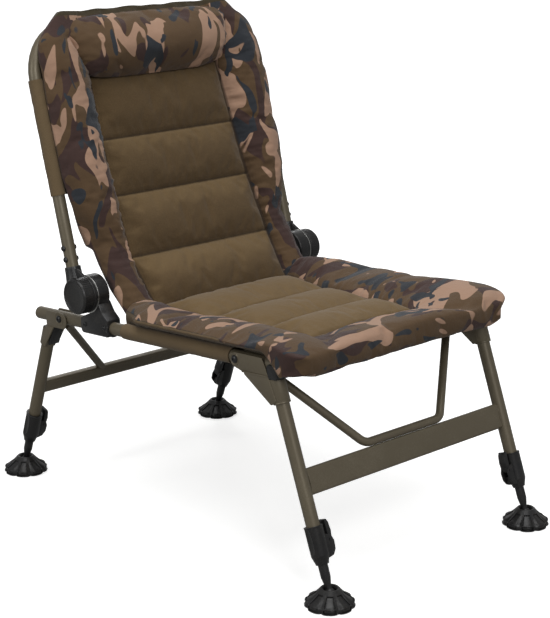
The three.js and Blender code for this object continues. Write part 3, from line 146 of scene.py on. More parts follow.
def woodland(g, given):
    """Generic four-colour woodland cloth: each colour covers the last where a noise is high."""
    cloth = given["Vector"]
    bend = g.add("ShaderNodeTexNoise", {"Vector": g.shift(cloth, (5.3, 1.1, 2.2)),
                                        "Scale": 11.0, "Detail": 0.5})
    swirl = g.shift(bend.outputs["Color"], (-0.035, -0.035, -0.035), (0.07, 0.07, 0.07))
    warped = g.add("ShaderNodeVectorMath", {0: cloth, 1: swirl}, operation="ADD").outputs[0]
    colour = srgb(84, 65, 45)
    layers = [
        (srgb(62, 45, 41), (3.1, 0.7, 1.9), 14.5, 0.53),
        (srgb(158, 127, 106), (7.3, 4.1, 0.2), 16.0, 0.565),
        (srgb(45, 48, 53), (1.2, 8.8, 5.4), 20.0, 0.62),
    ]
    for paint, offset, scale, level in layers:
        value = g.noise(g.shift(warped, offset, (1.6, 1.05, 0.72)), scale, 1.0, 0.45, 0.7)
        colour = g.mix(g.step(value, level, level + 0.01), colour, paint)
    return {"Color": colour}


def weave(g, given):
    """Crossed threads of a plain cloth, about a millimetre apart at scale 1."""
    axes = g.add("ShaderNodeSeparateXYZ", {0: given["Vector"]}).outputs
    pitch = g.math("MULTIPLY", given["Scale"], 5200.0)
    waves = []
    for k, other in ((0, 1), (1, 0), (2, 1)):
        wave = g.math("SINE", g.math("MULTIPLY", axes[k], pitch))
        cross = g.math("SINE", g.math("MULTIPLY", axes[other], g.math("MULTIPLY", pitch, 0.5)))
        waves.append(g.math("MULTIPLY", wave, cross))
    total = g.math("ADD", g.math("ADD", waves[0], waves[1]), waves[2])
    return {"Height": g.math("MULTIPLY_ADD", total, 0.17, 0.5)}


def dust(g, given):
    """Uneven soil, from broad patches broken up by a fine grain."""
    broad = g.noise(given["Vector"], 14.0, 4.0, 0.6)
    fine = g.noise(given["Vector"], 420.0, 2.0, 0.6)
    return {"Mask": g.step(g.math("MULTIPLY", broad, fine), 0.2, 0.42)}


def edge_wear_and_highlight(g, given):
    """Edges that stand out, from the surface's pointiness, broken up by a grain: paler from wear
    and a painted highlight.
    """
    point = g.add("ShaderNodeNewGeometry").outputs["Pointiness"]
    grain = g.noise(given["Vector"], 300.0, 3.0, 0.65)
    value = g.math("MULTIPLY_ADD", grain, 0.06, point)
    return {"Mask": g.step(value, 0.68, 0.8)}


PLACE = ("Vector", "Vector")
WOODLAND = node_group("woodland", woodland, [PLACE], [("Color", "Color")])
WEAVE = node_group("weave", weave, [PLACE, ("Scale", "Float")], [("Height", "Float")])
DUST = node_group("dust", dust, [PLACE], [("Mask", "Float")])
WEAR_AND_HIGHLIGHT = node_group("edge_wear_and_highlight", edge_wear_and_highlight, [PLACE], [("Mask", "Float")])


def finish_material(name, build, shader):
    """A material of one Principled shader, with plain values and what build makes for it."""
    material = bpy.data.materials.new(name)
    material.use_nodes = True
    tree = material.node_tree
    tree.nodes.clear()
    g = Graph(tree)
    surface = g.add("ShaderNodeBsdfPrincipled", shader)
    output = g.add("ShaderNodeOutputMaterial")
    tree.links.new(surface.outputs[0], output.inputs["Surface"])
    for key, socket in build(g).items():
        tree.links.new(socket, surface.inputs[key])
    return material


def grouped(g, tree, output, **inputs):
    return g.add("ShaderNodeGroup", inputs, node_tree=tree).outputs[output]


def bumped(g, height, strength, distance, normal=None):
    inputs = {"Height": height, "Strength": strength, "Distance": distance}
    if normal is not None:
        inputs["Normal"] = normal
    return g.add("ShaderNodeBump", inputs).outputs["Normal"]


def place_of(g):
    return g.add("ShaderNodeTexCoord").outputs["Object"]


def worn_lit_and_soiled(g, at, base, bare_and_lit, soil, share):
    """The base colour, paler on its sharpest edges from wear and a painted highlight, with a share
    of dust over it.
    """
    worn_and_lit = g.mix(grouped(g, WEAR_AND_HIGHLIGHT, "Mask", Vector=at), base, bare_and_lit)
    return g.mix(g.math("MULTIPLY", grouped(g, DUST, "Mask", Vector=at), share), worn_and_lit, soil)


def painted(g):
    """Satin bronze-olive powder coat, paler on its edges from wear and a painted highlight, and
    dusty in patches.
    """
    at = place_of(g)
    fleck = g.noise(at, 900.0, 2.0, 0.7)
    base = g.mix(fleck, srgb(90, 82, 66), srgb(108, 99, 82))
    cloudy = g.mix(g.step(g.noise(at, 9.0, 3.0), 0.35, 0.7), base, srgb(97, 89, 72))
    # Paler edges from wear and a painted highlight, and dust in patches.
    colour = worn_lit_and_soiled(g, at, cloudy, srgb(132, 126, 112), srgb(138, 128, 110), 0.18)
    rough = g.step(g.noise(at, 60.0, 3.0), 0.2, 0.8, 0.38, 0.5)
    peel = g.noise(at, 700.0, 2.0, 0.5)
    return {"Base Color": colour, "Roughness": rough, "Normal": bumped(g, peel, 0.12, 0.0004)}


def moulded(g):
    """Black glass-filled plastic with a fine spark-eroded grain."""
    at = place_of(g)
    grain = g.noise(at, 1500.0, 3.0, 0.6)
    base = g.mix(g.step(g.noise(at, 25.0, 3.0), 0.3, 0.7), srgb(18, 18, 19), srgb(28, 28, 29))
    # Paler edges from wear and a painted highlight, and dust in patches.
    colour = worn_lit_and_soiled(g, at, base, srgb(66, 66, 64), srgb(96, 90, 80), 0.14)
    rough = g.step(grain, 0.3, 0.7, 0.28, 0.44)
    return {"Base Color": colour, "Roughness": rough, "Normal": bumped(g, grain, 0.25, 0.0002)}


def plated(g):
    """Zinc-plated steel, faintly turned."""
    at = place_of(g)
    turned = g.noise(g.shift(at, (0, 0, 0), (1, 14, 14)), 120.0, 2.0)
    base = g.mix(turned, srgb(150, 150, 148), srgb(188, 188, 184))
    rough = g.step(g.noise(at, 200.0, 3.0), 0.2, 0.8, 0.22, 0.42)
    return {"Base Color": base, "Roughness": rough, "Normal": bumped(g, turned, 0.1, 0.0002)}


def blackened(g):
    """Black oxide on screws and bolts."""
    at = place_of(g)
    base = g.mix(g.noise(at, 220.0, 3.0), srgb(24, 24, 25), srgb(44, 44, 44))
    # Paler edges from wear and a painted highlight.
    worn_and_lit = g.mix(grouped(g, WEAR_AND_HIGHLIGHT, "Mask", Vector=at), base, srgb(112, 110, 106))
    rough = g.step(g.noise(at, 300.0, 2.0), 0.2, 0.8, 0.22, 0.36)
    return {"Base Color": worn_and_lit, "Roughness": rough}


def sling_cloth(g):
    """Coarse coated polyester, brown, in a plain weave."""
    at = place_of(g)
    threads = grouped(g, WEAVE, "Height", Vector=at, Scale=1.0)
    base = g.mix(g.noise(at, 12.0, 4.0), srgb(78, 64, 45), srgb(98, 82, 58))
    lit = g.mix(g.math("MULTIPLY", threads, 0.5), base, srgb(126, 107, 80))
    return {"Base Color": lit, "Normal": bumped(g, threads, 0.5, 0.0004)}


def mattress_cloth(g):
    """Camouflage bolsters round a brown fleece panel, with a brown band along the sides.

    Attributes of the mesh: rest (place before any pose), edge (mm outside the panel), seam (mm from
    the nearest channel seam), band (0 on the face, 1 on the sides and the back), trim (1 where the
    sides are plain brown), bound (1 on the olive binding)."""
    at = g.attribute("rest", "Vector")
    edge, seam, band, trim = (g.attribute(key) for key in ("edge", "seam", "band", "trim"))
    camo = grouped(g, WOODLAND, "Color", Vector=at)
    mottle = g.noise(at, 40.0, 4.0, 0.6)
    fleece = g.mix(mottle, srgb(76, 60, 38), srgb(85, 68, 44))
    nap = g.noise(at, 900.0, 3.0, 0.7)
    fleece = g.mix(g.step(nap, 0.35, 0.75), fleece, srgb(95, 76, 51))
    # Painted light: the fleece is lighter where it faces up, towards the overhead light.
    facing = g.add("ShaderNodeNewGeometry").outputs["Normal"]
    upward = g.add("ShaderNodeSeparateXYZ", {0: facing}).outputs["Z"]
    fleece = g.mix(g.step(upward, 0.45, 0.95, 0.0, 0.55), fleece, srgb(118, 97, 65))
    # Painted shade: darker in the sunk channel seams and along the sunk seam at the panel's edge.
    shade = g.step(g.math("ABSOLUTE", seam), 0.4, 3.2, 0.6, 0.0)
    panel = g.mix(shade, fleece, srgb(40, 31, 21))
    line = g.step(g.math("ABSOLUTE", edge), 0.6, 3.0, 0.75, 0.0)
    inside = g.step(edge, -0.4, 0.4)
    top = g.mix(line, g.mix(inside, panel, camo), srgb(36, 28, 22))
    cloth = grouped(g, WEAVE, "Height", Vector=at, Scale=1.4)
    side = g.mix(g.math("MULTIPLY", cloth, 0.4), srgb(84, 68, 46), srgb(108, 90, 64))
    rim = g.math("MULTIPLY", band, trim)
    stitched = g.step(g.math("ABSOLUTE", g.math("SUBTRACT", rim, 0.1)), 0.02, 0.07, 0.7, 0.0)
    colour = g.mix(stitched, g.mix(g.step(rim, 0.08, 0.12), top, side), srgb(30, 24, 18))
    colour = g.mix(g.step(band, 0.9, 0.97), colour, side)
    colour = g.mix(g.step(g.attribute("bound"), 0.45, 0.55), colour, srgb(58, 50, 34))
    fuzz = g.mix(inside, nap, cloth)
    normal = bumped(g, g.noise(at, 70.0, 4.0, 0.62), 0.35, 0.004)
    return {"Base Color": colour, "Normal": bumped(g, fuzz, 0.4, 0.0007, normal)}


def pillow_cloth(g):
    """The same print as on the mattress, from another stretch of the cloth."""
    at = g.attribute("rest", "Vector")
    camo = grouped(g, WOODLAND, "Color", Vector=g.shift(at, (0.31, 0.17, 0.05)))
    cloth = grouped(g, WEAVE, "Height", Vector=at, Scale=1.4)
    normal = bumped(g, g.noise(at, 60.0, 4.0, 0.6), 0.3, 0.004)
    return {"Base Color": camo, "Normal": bumped(g, cloth, 0.35, 0.0005, normal)}


def backdrop_ray(g):
    """1 for the camera's rays, which meet a white studio, and a share for mirrored rays."""
    path = g.add("ShaderNodeLightPath").outputs
    return g.math("MAXIMUM", path["Is Camera Ray"], g.math("MULTIPLY", path["Is Glossy Ray"], 0.18))


def floor_coat(g):
    """Near white to the camera, fading to white far away, and darker to other rays."""
    at = place_of(g)
    seen = backdrop_ray(g)
    away = g.add("ShaderNodeVectorMath", {0: at}, operation="LENGTH").outputs["Value"]
    glow = g.math("MULTIPLY", seen, g.step(away, 0.7, 3.2, 0.57, 1.0))
    pale = g.mix(g.noise(at, 3.0, 4.0), srgb(232, 232, 231), srgb(236, 236, 235))
    return {"Base Color": g.mix(seen, srgb(120, 120, 118), pale), "Emission Strength": glow}


FABRIC = {"Roughness": 0.92, "Specular IOR Level": 0.25, "Sheen Weight": 0.12,
          "Sheen Roughness": 0.5}
PAINT = finish_material("bronze_paint", painted, {"Metallic": 0.35, "Specular IOR Level": 0.45,
                                                  "Coat Weight": 0.05, "Coat Roughness": 0.25})
PLASTIC = finish_material("black_plastic", moulded, {"Specular IOR Level": 0.36})
ZINC = finish_material("zinc_steel", plated, {"Metallic": 1.0})
BLACK_STEEL = finish_material("black_steel", blackened, {"Metallic": 0.4})
SLING = finish_material("sling_cloth", sling_cloth, FABRIC)
MATTRESS = finish_material("mattress_cloth", mattress_cloth, FABRIC)
PILLOW = finish_material("pillow_cloth", pillow_cloth, FABRIC)
FLOOR = finish_material("floor_coat", floor_coat, {"Roughness": 0.9, "Specular IOR Level": 0.05,
                                                   "Emission Color": (1, 1, 1, 1)})

# The solids' own finish, by the name of the node without its side; the others are plastic

CAD_FINISH = {
    PAINT: ("seat_tube", "back_tube", "front_leg", "rear_leg", "front_brace", "rear_brace",
            "front_stay_bar", "front_bracket", "rear_bracket"),
    ZINC: ("knuckle_washer",),
    BLACK_STEEL: ("knuckle_axle", "front_pivot_bolt", "rear_pivot_bolt", "lower_cross_bolt",
                  "upper_cross_bolt"),
    SLING: ("seat_sling", "back_sling"),
    MATTRESS: ("seat_pad", "back_pad", "lumbar_pad"),
    PILLOW: ("head_pillow",),
}


def dress_nodes():
    finish = {stem: material for material, stems in CAD_FINISH.items() for stem in stems}
    for name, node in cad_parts.items():
        stem = name.removesuffix("_right").removesuffix("_left")
        for slot in node.material_slots:
            slot.material = finish.get(stem, PLASTIC)


# Selecting, edit mode and modifiers

def deselect():
    for other in bpy.context.selected_objects:
        other.select_set(False)


def pick(*objects):
    """Only these objects are selected, the last one active."""
    deselect()
    for one in objects:
        one.select_set(True)
    bpy.context.view_layer.objects.active = objects[-1]


def edit(obj):
    pick(obj)
    bpy.ops.object.mode_set(mode="EDIT")


def edit_all(obj):
    edit(obj)
    bpy.ops.mesh.select_all(action="SELECT")


def done():
    bpy.ops.object.mode_set(mode="OBJECT")


def modified(obj, kind, **settings):
    """Gives a piece one modifier and applies it."""
    pick(obj)
    bpy.ops.object.modifier_add(type=kind)
    modifier = obj.modifiers[-1]
    for key, value in settings.items():
        setattr(modifier, key, value)
    bpy.ops.object.modifier_apply(modifier=modifier.name)
    return obj


# Soft pieces

def mesh_object(name, vertices, faces, attributes, group):
    """A new object from points in its group's frame, with float attributes and its rest place."""
    place = group_matrix(group)
    points = [place @ Vector(v) for v in vertices]
    mesh = bpy.data.meshes.new(name)
    mesh.from_pydata([tuple(p) for p in points], [], faces)
    rest = mesh.attributes.new("rest", "FLOAT_VECTOR", "POINT")
    rest.data.foreach_set("vector", np.array(points, dtype=np.float32).ravel())
    for key, values in attributes.items():
        attribute = mesh.attributes.new(key, "FLOAT", "POINT")
        attribute.data.foreach_set("value", np.asarray(values, dtype=np.float32))
    obj = bpy.data.objects.new(name, mesh)
    scene.collection.objects.link(obj)
    bm = bmesh.new()
    bm.from_mesh(mesh)
    bmesh.ops.recalc_face_normals(bm, faces=bm.faces)
    bm.to_mesh(mesh)
    bm.free()
    return obj


def quilt(name, group, front, back, marks, strips=3, bulge=2.0):
    """A closed pad from two grids of points (rows, columns, 3), with narrow strips round the rim.

    marks gives each attribute on the front grid; band is 0 on the front and 1 elsewhere."""
    rows, columns = front.shape[:2]
    ring = [(0, c) for c in range(columns)] + [(r, columns - 1) for r in range(1, rows)]
    ring += [(rows - 1, c) for c in range(columns - 2, -1, -1)]
    ring += [(r, 0) for r in range(rows - 2, 0, -1)]
    layer = rows * columns
    at = [[r * columns + c for r, c in ring]]
    points = [*front.reshape(-1, 3), *back.reshape(-1, 3)]
    values = {key: [*grid.ravel(), *grid.ravel()] for key, grid in marks.items()}
    bands = [0.0] * layer + [1.0] * layer
    middle = front.reshape(-1, 3).mean(axis=0)
    for k in range(1, strips + 1):
        share = k / (strips + 1)
        at.append(list(range(len(points), len(points) + len(ring))))
        for r, c in ring:
            point = lerp(front[r, c], back[r, c], share)
            out = point - middle
            out[np.argmin(np.ptp(front.reshape(-1, 3), axis=0))] = 0
            out = out / max(np.linalg.norm(out), 1e-6)
            points.append(point + out * bulge * math.sin(math.pi * share))
        for key, grid in marks.items():
            values[key] += [grid[r, c] for r, c in ring]
        bands += [share] * len(ring)
    at.append([layer + r * columns + c for r, c in ring])
    faces = []
    for r in range(rows - 1):
        for c in range(columns - 1):
            a = r * columns + c
            faces.append((a, a + 1, a + columns + 1, a + columns))
            faces.append((layer + a, layer + a + columns, layer + a + columns + 1, layer + a + 1))
    count = len(ring)
    for low, high in zip(at, at[1:]):
        for k in range(count):
            n = (k + 1) % count
            faces.append((low[k], high[k], high[n], low[n]))
    values["band"] = bands
    return mesh_object(name, points, faces, values, group)


def read(obj, key):
    values = np.empty(len(obj.data.vertices), dtype=np.float32)
    obj.data.attributes[key].data.foreach_get("value", values)
    return values


def coordinates(obj, key="co"):
    flat = np.empty(len(obj.data.vertices) * 3)
    obj.data.vertices.foreach_get(key, flat)
    return flat.reshape(-1, 3)


def set_coordinates(obj, points):
    obj.data.vertices.foreach_set("co", points.ravel())
    obj.data.update()


def inflate(obj, held, cap):
    """Puffs a pad with Blender's cloth, with the held points pinned, and applies it."""
    start = coordinates(obj)
    group = obj.vertex_groups.new(name="held")
    for level in np.unique(held[held > 0]):
        group.add([int(k) for k in np.nonzero(held == level)[0]], float(level), "REPLACE")
    pick(obj)
    bpy.ops.object.modifier_add(type="CLOTH")
    cloth = obj.modifiers[-1]
    settings = cloth.settings
    settings.vertex_group_mass = "held"
    settings.quality = 5
    settings.use_pressure = True
    settings.uniform_pressure_force = PRESSURE
    settings.shrink_min = -0.02
    settings.tension_stiffness = 18
    settings.compression_stiffness = 18
    settings.shear_stiffness = 8
    settings.bending_stiffness = 0.6
    settings.air_damping = 2
    settings.effector_weights.gravity = 0
    cloth.collision_settings.use_collision = False
    cloth.collision_settings.use_self_collision = False
    cloth.point_cache.frame_start = 1
    cloth.point_cache.frame_end = FRAMES
    for number in range(1, FRAMES + 1):
        scene.frame_set(number)
    bpy.ops.object.modifier_apply(modifier=cloth.name)
    scene.frame_set(1)
    obj.vertex_groups.remove(obj.vertex_groups["held"])
    moved = coordinates(obj) - start
    length = np.linalg.norm(moved, axis=1, keepdims=True)
    set_coordinates(obj, start + moved * np.minimum(1, cap / np.maximum(length, 1e-9)))


def creased(obj, seams, gather=0.0, pitch=15, reach=38):
    """Sinks the stitched seams, and gathers the cloth outside the panel into small folds.

    seams: (attribute, depth, width) in mm; gather is the height of the folds."""
    points, normals = coordinates(obj), coordinates(obj, "normal")
    face = (1 - np.clip(read(obj, "band") * 6, 0, 1)) * read(obj, "loose")
    rise = np.zeros(len(points))
    for key, depth, width in seams:
        rise -= depth * np.exp(-((np.abs(read(obj, key)) / width) ** 2))
    if gather:
        edge, run = read(obj, "edge"), read(obj, "run")
        out = np.clip(edge, 0, None)
        fade = np.exp(-out / reach) * np.clip(edge / 2.5, 0, 1)
        folds = np.array([noise.noise(Vector((r / pitch + e * 0.012, e / 55, 3.7)))
                          + 0.6 * noise.noise(Vector((r / (pitch * 0.55), e / 30, 9.1)))
                          for r, e in zip(run, out)])
        broad = np.array([noise.noise(Vector((r / 46, e / 60, 1.3))) for r, e in zip(run, out)])
        rise += gather * (np.abs(folds) * 2.2 - 0.8) * fade
        rise += gather * 1.1 * broad * np.clip(edge / 10, 0, 1)
    set_coordinates(obj, points + normals * (rise * face * 0.001)[:, None])


def along(places, values, place):
    order = np.argsort(places)
    return np.interp(place, np.asarray(places, float)[order], np.asarray(values, float)[order])


def swell(share, power):
    return np.sin(np.pi * np.clip(share, 0, 1)) ** power


def clamped(value):
    return min(max(value, 0), 1)


QUILT_STEP = 5.5  # between the rows of a channel
CHANNEL_CROWN = 14
CREASE_MITRE = 0.8
FAR = 60  # a mark well away from any seam


def stations(seams, end, steps):
    """Rows along a mattress: through each channel, then from the last seam to the end.

    Each is (place, share of its channel, share of the last stretch, number of its channel)."""
    result = []
    for k, (low, high) in enumerate(zip(seams, seams[1:])):
        count = max(round(abs(high - low) / QUILT_STEP), 2)
        result += [(lerp(low, high, i / count), i / count, 0.0, k) for i in range(count)]
    for k in range(steps + 1):
        result.append((lerp(seams[-1], end, k / steps), 0.0, k / steps, len(seams)))
    return result


def pad_from(name, group, rows, keys, **settings):
    """A quilt from rows of (front point, back point, value of each key...)."""
    front, back, *values = (np.array([[cell[k] for cell in row] for row in rows], float)
                            for k in range(2 + len(keys)))
    return quilt(name, group, front, back, dict(zip(keys, values)), **settings)


# The seat's mattress: y from the front (negative) to the crease, heights above the rails

SEAT_SEAMS = [109, -8, -130, -234]
SEAT_SEAM_HEIGHTS = [24.5, 16.5, 14.3, 13.4]
SEAT_PANEL_HALVES = [152, 140, 129, 121]
SEAT_HALF = 255
SEAT_WAIST = 219
SEAT_FRONT = 338
SEAT_CORNER = 32
SEAT_SIDE_CROWNS = (9, 15)  # of the right and the left bolster
SEAT_REAR_CROWNS = (5, 11)  # what they gain behind y = -20
SEAT_NOSE_CROWN = 6
RIM_HEIGHT, NOSE_HEIGHT = 32, 15
ON_SLING, ON_SLEEVE = 4.4, 13.7
NOSE_STEPS = 19
NOSE_TURN = [(-339, 5, 0.3), (-338.8, -5, 0.6), (-337, -13, 0.85), (-333, -17.6, 1)]


def seat_half_width(y):
    """Half the width of the seat: waisted towards the crease, with rounded front corners."""
    if y > 42:
        return lerp(SEAT_HALF, SEAT_WAIST, math.sqrt(min((y - 42) / 67, 1)))
    past = SEAT_CORNER - (SEAT_FRONT + y)
    if past <= 0:
        return SEAT_HALF
    return SEAT_HALF - SEAT_CORNER + math.sqrt(max(SEAT_CORNER ** 2 - past ** 2, 0))


def columns_of(outer, panel, counts):
    """Each column's x, its share across the bolster (0 at the rim, 1 at the panel) or None on the
    panel, and its place across the panel (-1 to 1) or None on a bolster."""
    bolsters, panels = counts
    left = [(-lerp(outer, panel, k / bolsters), k / bolsters, None) for k in range(bolsters)]
    middle = [(lerp(-panel, panel, k / panels), None, 2 * k / panels - 1)
              for k in range(panels + 1)]
    right = [(-x, share, None) for x, share, _ in reversed(left)]
    return left + middle + right


def nose_height(x, height):
    """A height at the front edge, less of it near the corners."""
    return height * (1 - 0.45 * clamped((abs(x) - 200) / 45))


def under_seat(x, y, outer):
    """The underside: on the sling, on the sleeves, and at the rim falling into the front pocket."""
    x *= seat_half_width(y) / outer
    low = ON_SLEEVE if abs(x) > 219 else ON_SLING
    rim = max((abs(x) - RAIL_X) / (SEAT_HALF - RAIL_X), 0)
    z = max(low, lerp(low, 24, rim))
    fall = clamped((-262 - y) / 38) ** 1.5 * clamped((abs(x) - 236) / 12)
    return (x, y, lerp(z, -14, fall))


def seat_mattress():
    """Four channels, a nose that falls over the front tube, and bolsters along both sides."""
    seams = SEAT_SEAMS
    rows = []
    for y, share, nose, _ in stations(seams, -SEAT_FRONT, NOSE_STEPS):
        rows.append([])
        panel = float(along(seams, SEAT_PANEL_HALVES, y))
        base = float(along(seams, SEAT_SEAM_HEIGHTS, y))
        outer = seat_half_width(y)
        past = seams[-1] - y
        fall = nose ** 3
        crown = SEAT_NOSE_CROWN * float(swell(nose * 0.9, 0.7))
        gap = min(abs(y - seam) for seam in seams[1:])
        trim, loose = clamped((y + 175) / 12), min((seams[0] - y) / 16, 1)
        for x, bolster, across in columns_of(outer, panel, (19, 50)):
            mark, seam = abs(x) - panel, FAR
            if across is None:
                puff = float(swell(bolster, 0.7))
                rise = max(SEAT_SIDE_CROWNS[x > 0] * puff * (1 - nose ** 6), crown)
                rise += SEAT_REAR_CROWNS[x > 0] * clamped((y + 20) / 80) * puff
                z = lerp(lerp(RIM_HEIGHT, NOSE_HEIGHT, fall), lerp(base, NOSE_HEIGHT, fall),
                         bolster ** 1.6) + rise
                mark = math.hypot(mark, past) if nose > 0 else mark
            elif nose == 0:
                ends = 1 - abs(across) ** 7
                z = base + CHANNEL_CROWN * float(swell(share, 0.6)) * ends
                seam = gap
            else:
                z = lerp(base, NOSE_HEIGHT, fall) + crown
                mark = max(mark, past)
            mitre = CREASE_MITRE * (z - SEAT_SEAM_HEIGHTS[0]) if y == seams[0] else 0
            below = under_seat(x, y if nose == 0 else lerp(seams[-1], -303, nose), outer)
            turn = math.atan2(past, max(abs(x) - panel, 0.01))
            run = y if nose == 0 else seams[-1] - 60 * turn - max(panel - abs(x), 0)
            rows[-1].append(((x, y - mitre, z), below, mark, seam, run, trim, loose))
    edge_row = rows[-1]
    for k, (y, z, share) in enumerate(NOSE_TURN, 1):
        rows.append([((x, y, nose_height(x, z)),
                      (a, b - 1.5 * share, lerp(c, nose_height(a, -17.6), share)),
                      mark + 12 * k, FAR, run, trim, loose)
                     for (x, _, _), (a, b, c), mark, _, run, trim, loose in edge_row])
    pad = pad_from("seat_mattress", "seat", rows, ("edge", "seam", "run", "trim", "loose"))
    finish_pad(pad, MATTRESS, [("edge", 3.0, 3.2), ("seam", 3.2, 2.6)], gather=1.4)
    cut_across(pad)
    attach(pad, "seat_frame")
    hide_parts("seat_pad")


PRESSURE = 4.0  # of the fill, while the cloth is puffed
FRAMES = 20


def finish_pad(pad, material, seams, cap=0.012, gather=0.0, **folds):
    """Puffs a pad by at most cap (m), sinks its seams and gives it its cloth."""
    band, edge, seam = read(pad, "band"), read(pad, "edge"), read(pad, "seam")
    held = np.where(band > 0.3, 1.0, 0.0)
    held = np.maximum(held, np.where((np.abs(edge) < 2) | (np.abs(seam) < 2), 1.0, 0.0))
    held = np.maximum(held, np.where(read(pad, "loose") < 0.1, 1.0, 0.0))
    inflate(pad, held, cap)
    modified(pad, "SUBSURF", levels=1, render_levels=1)
    creased(pad, seams, gather, **folds)
    pad.data.materials.append(material)
    pick(pad)
    bpy.ops.object.shade_smooth()


def cut_across(pad):
    """Turns the print of the cloth, so that its long patches lie across the chair."""
    attribute = pad.data.attributes["rest"].data
    places = np.zeros(len(attribute) * 3)
    attribute.foreach_get("vector", places)
    attribute.foreach_set("vector", places.reshape(-1, 3)[:, [1, 2, 0]].ravel())


# The back's mattress and its lumbar stretch: z along the uprights, depth (y) behind the hinge

BACK_SEAMS = [-46.5, 46, 154, 253, 367]
BACK_DEPTHS = [-57, -21, -1.9, 8.5, 15.5]
BACK_PANEL_HALVES = [152, 158, 152, 149, 144]
BACK_TOP = 476
BACK_EDGE_HEIGHTS = [-46.5, 0, 46, 75, 100, 130, 160, 200, 340, 400, 430, 448, 476]
BACK_HALVES = [210, 213, 214, 216, 222, 231, 239, 245, 246, 242, 234, 219, 184]
BACK_BOLSTERS = [17, 17, 19, 26, 34, 34, 34, 33, 27, 23, 18, 13, 8]
CHANNEL_SHARES = [1, 1, 0.9, 0.8]  # of the crown, from the lumbar stretch upwards
HEAD_STEPS = 20


def back_rest(x, z):
    """Rear plane of the mattress: on the sling inside the back tube, on the sleeves beside it."""
    across, up = abs(x) - (UPRIGHT_X - BACK_BEND), z - (BACK_CROWN - BACK_BEND)
    straight = min(UPRIGHT_X - abs(x), BACK_CROWN - z)
    inside = BACK_BEND - math.hypot(across, up) if across > 0 and up > 0 else straight
    return lerp(11.2, 23.5, clamped((inside - 13.5) / 12))


def back_mattress():
    """The lumbar stretch, three channels and a bordered top, with bolsters along both sides."""
    seams = BACK_SEAMS
    rows = []
    for z, share, head, k in stations(seams, BACK_TOP, HEAD_STEPS):
        rows.append([])
        panel = float(along(seams, BACK_PANEL_HALVES, z))
        base = float(along(seams, BACK_DEPTHS, z))
        outer = float(along(BACK_EDGE_HEIGHTS, BACK_HALVES, z))
        rise = float(along(BACK_EDGE_HEIGHTS, BACK_BOLSTERS, z))
        past = z - seams[-1]
        gap = min(abs(z - seam) for seam in seams[1:])
        shift = 7 * clamped((z - 370) / 60)
        loose, bound = min((z - seams[0]) / 16, 1), float(z > BACK_TOP - 7)
        for x, bolster, across in columns_of(outer, panel, (17, 54)):
            side = clamped((abs(x) - panel) / 30) * clamped((z + 41) / 40)
            rest = back_rest(x, z) if z >= 75 else min(base + 13 + 9 * side, 11.2)
            low = min(base, rest - 5.5) if z > 75 else base
            seam = FAR
            if across is None:
                up = clamped((z - 10) / 90)
                rim = lerp(base, min(1, rest - 6), up * up * (3 - 2 * up))
                puff = rise * float(swell(bolster, 0.7)) * (1 - head ** 4)
                depth = lerp(rim, low, bolster ** 2) - puff
            elif head == 0:
                crown = CHANNEL_CROWN * CHANNEL_SHARES[min(k, 3)] * float(swell(share, 0.6))
                depth = low - crown * (1 - abs(across) ** 7)
                seam = gap
            else:
                depth = lerp(low, 6.5, min(head * 3, 1))
            mitre = max(CREASE_MITRE * (base - depth), 0) if z == seams[0] else 0
            wave = 3.2 * noise.noise(Vector((x / 38, 0, 5.5))) * head
            mark = abs(x) - panel if head == 0 else max(abs(x) - panel, past)
            turn = math.atan2(past, max(abs(x) - panel, 0.01))
            run = z if head == 0 else seams[-1] + 60 * turn + max(panel - abs(x), 0)
            rows[-1].append(((x - shift, depth, z + mitre + wave), (x - shift, rest, z + wave),
                             mark, seam, run, loose, bound))
    pad = pad_from("back_mattress", "back", rows, ("edge", "seam", "run", "loose", "bound"))
    finish_pad(pad, MATTRESS, [("edge", 3.0, 3.2), ("seam", 3.0, 2.4)], gather=3.0)
    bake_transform(pad)
    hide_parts("back_pad", "lumbar_pad")


def drawn_out(share):
    """A place from -1 to 1, with the steps closer together towards both ends."""
    return math.copysign(math.sin(abs(share) * math.pi / 2) ** 0.9, share)


def pillow():
    columns, count = 68, 26
    rows = []
    for r in range(count + 1):
        up = drawn_out(2 * r / count - 1)
        rise = math.sqrt(max(1 - abs(up) ** 2.6, 0))
        half = lerp(158, 188, (up + 1) / 2)
        rows.append([])
        for c in range(columns + 1):
            across = drawn_out(2 * c / columns - 1)
            ends = math.sqrt(max(1 - abs(across) ** 5, 0))
            x, z = half * across - 10, 412 + 55 * lerp(0.6, 1, ends) * up
            puffed = (x, 5.8 - 34 * lerp(0.12, 1, ends * rise), z)
            mark, run = half * (1 - abs(across)) + 2.5, z + 300 * (across > 0)
            rows[-1].append((puffed, (x, 5.8, z), mark, run, FAR, 1))
    pad = pad_from("pillow", "back", rows, ("edge", "run", "seam", "loose"), strips=1, bulge=1.0)
    finish_pad(pad, PILLOW, [], cap=0.008, gather=3.2, pitch=17, reach=30)
    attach(pad, "backrest")
    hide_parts("head_pillow")


# Modelling tools: each piece starts from a primitive and is worked on as by hand

def move(step):
    bpy.ops.mesh.extrude_region_move(TRANSFORM_OT_translate={"value": tuple(step)})


def chain(name, points):
    """A line of edges through the points, left in edit mode with its last point selected."""
    deselect()
    bpy.ops.mesh.primitive_plane_add(size=2, enter_editmode=True, location=(0, 0, 0))
    obj = bpy.context.object
    obj.name = name
    bpy.ops.mesh.merge(type="CENTER")
    bpy.ops.transform.translate(value=tuple(points[0]))
    for a, b in zip(points, points[1:]):
        move([q - p for p, q in zip(a, b)])
    return obj


def outward():
    bpy.ops.mesh.select_all(action="SELECT")
    bpy.ops.mesh.remove_doubles(threshold=0.004)
    bpy.ops.mesh.normals_make_consistent(inside=False)


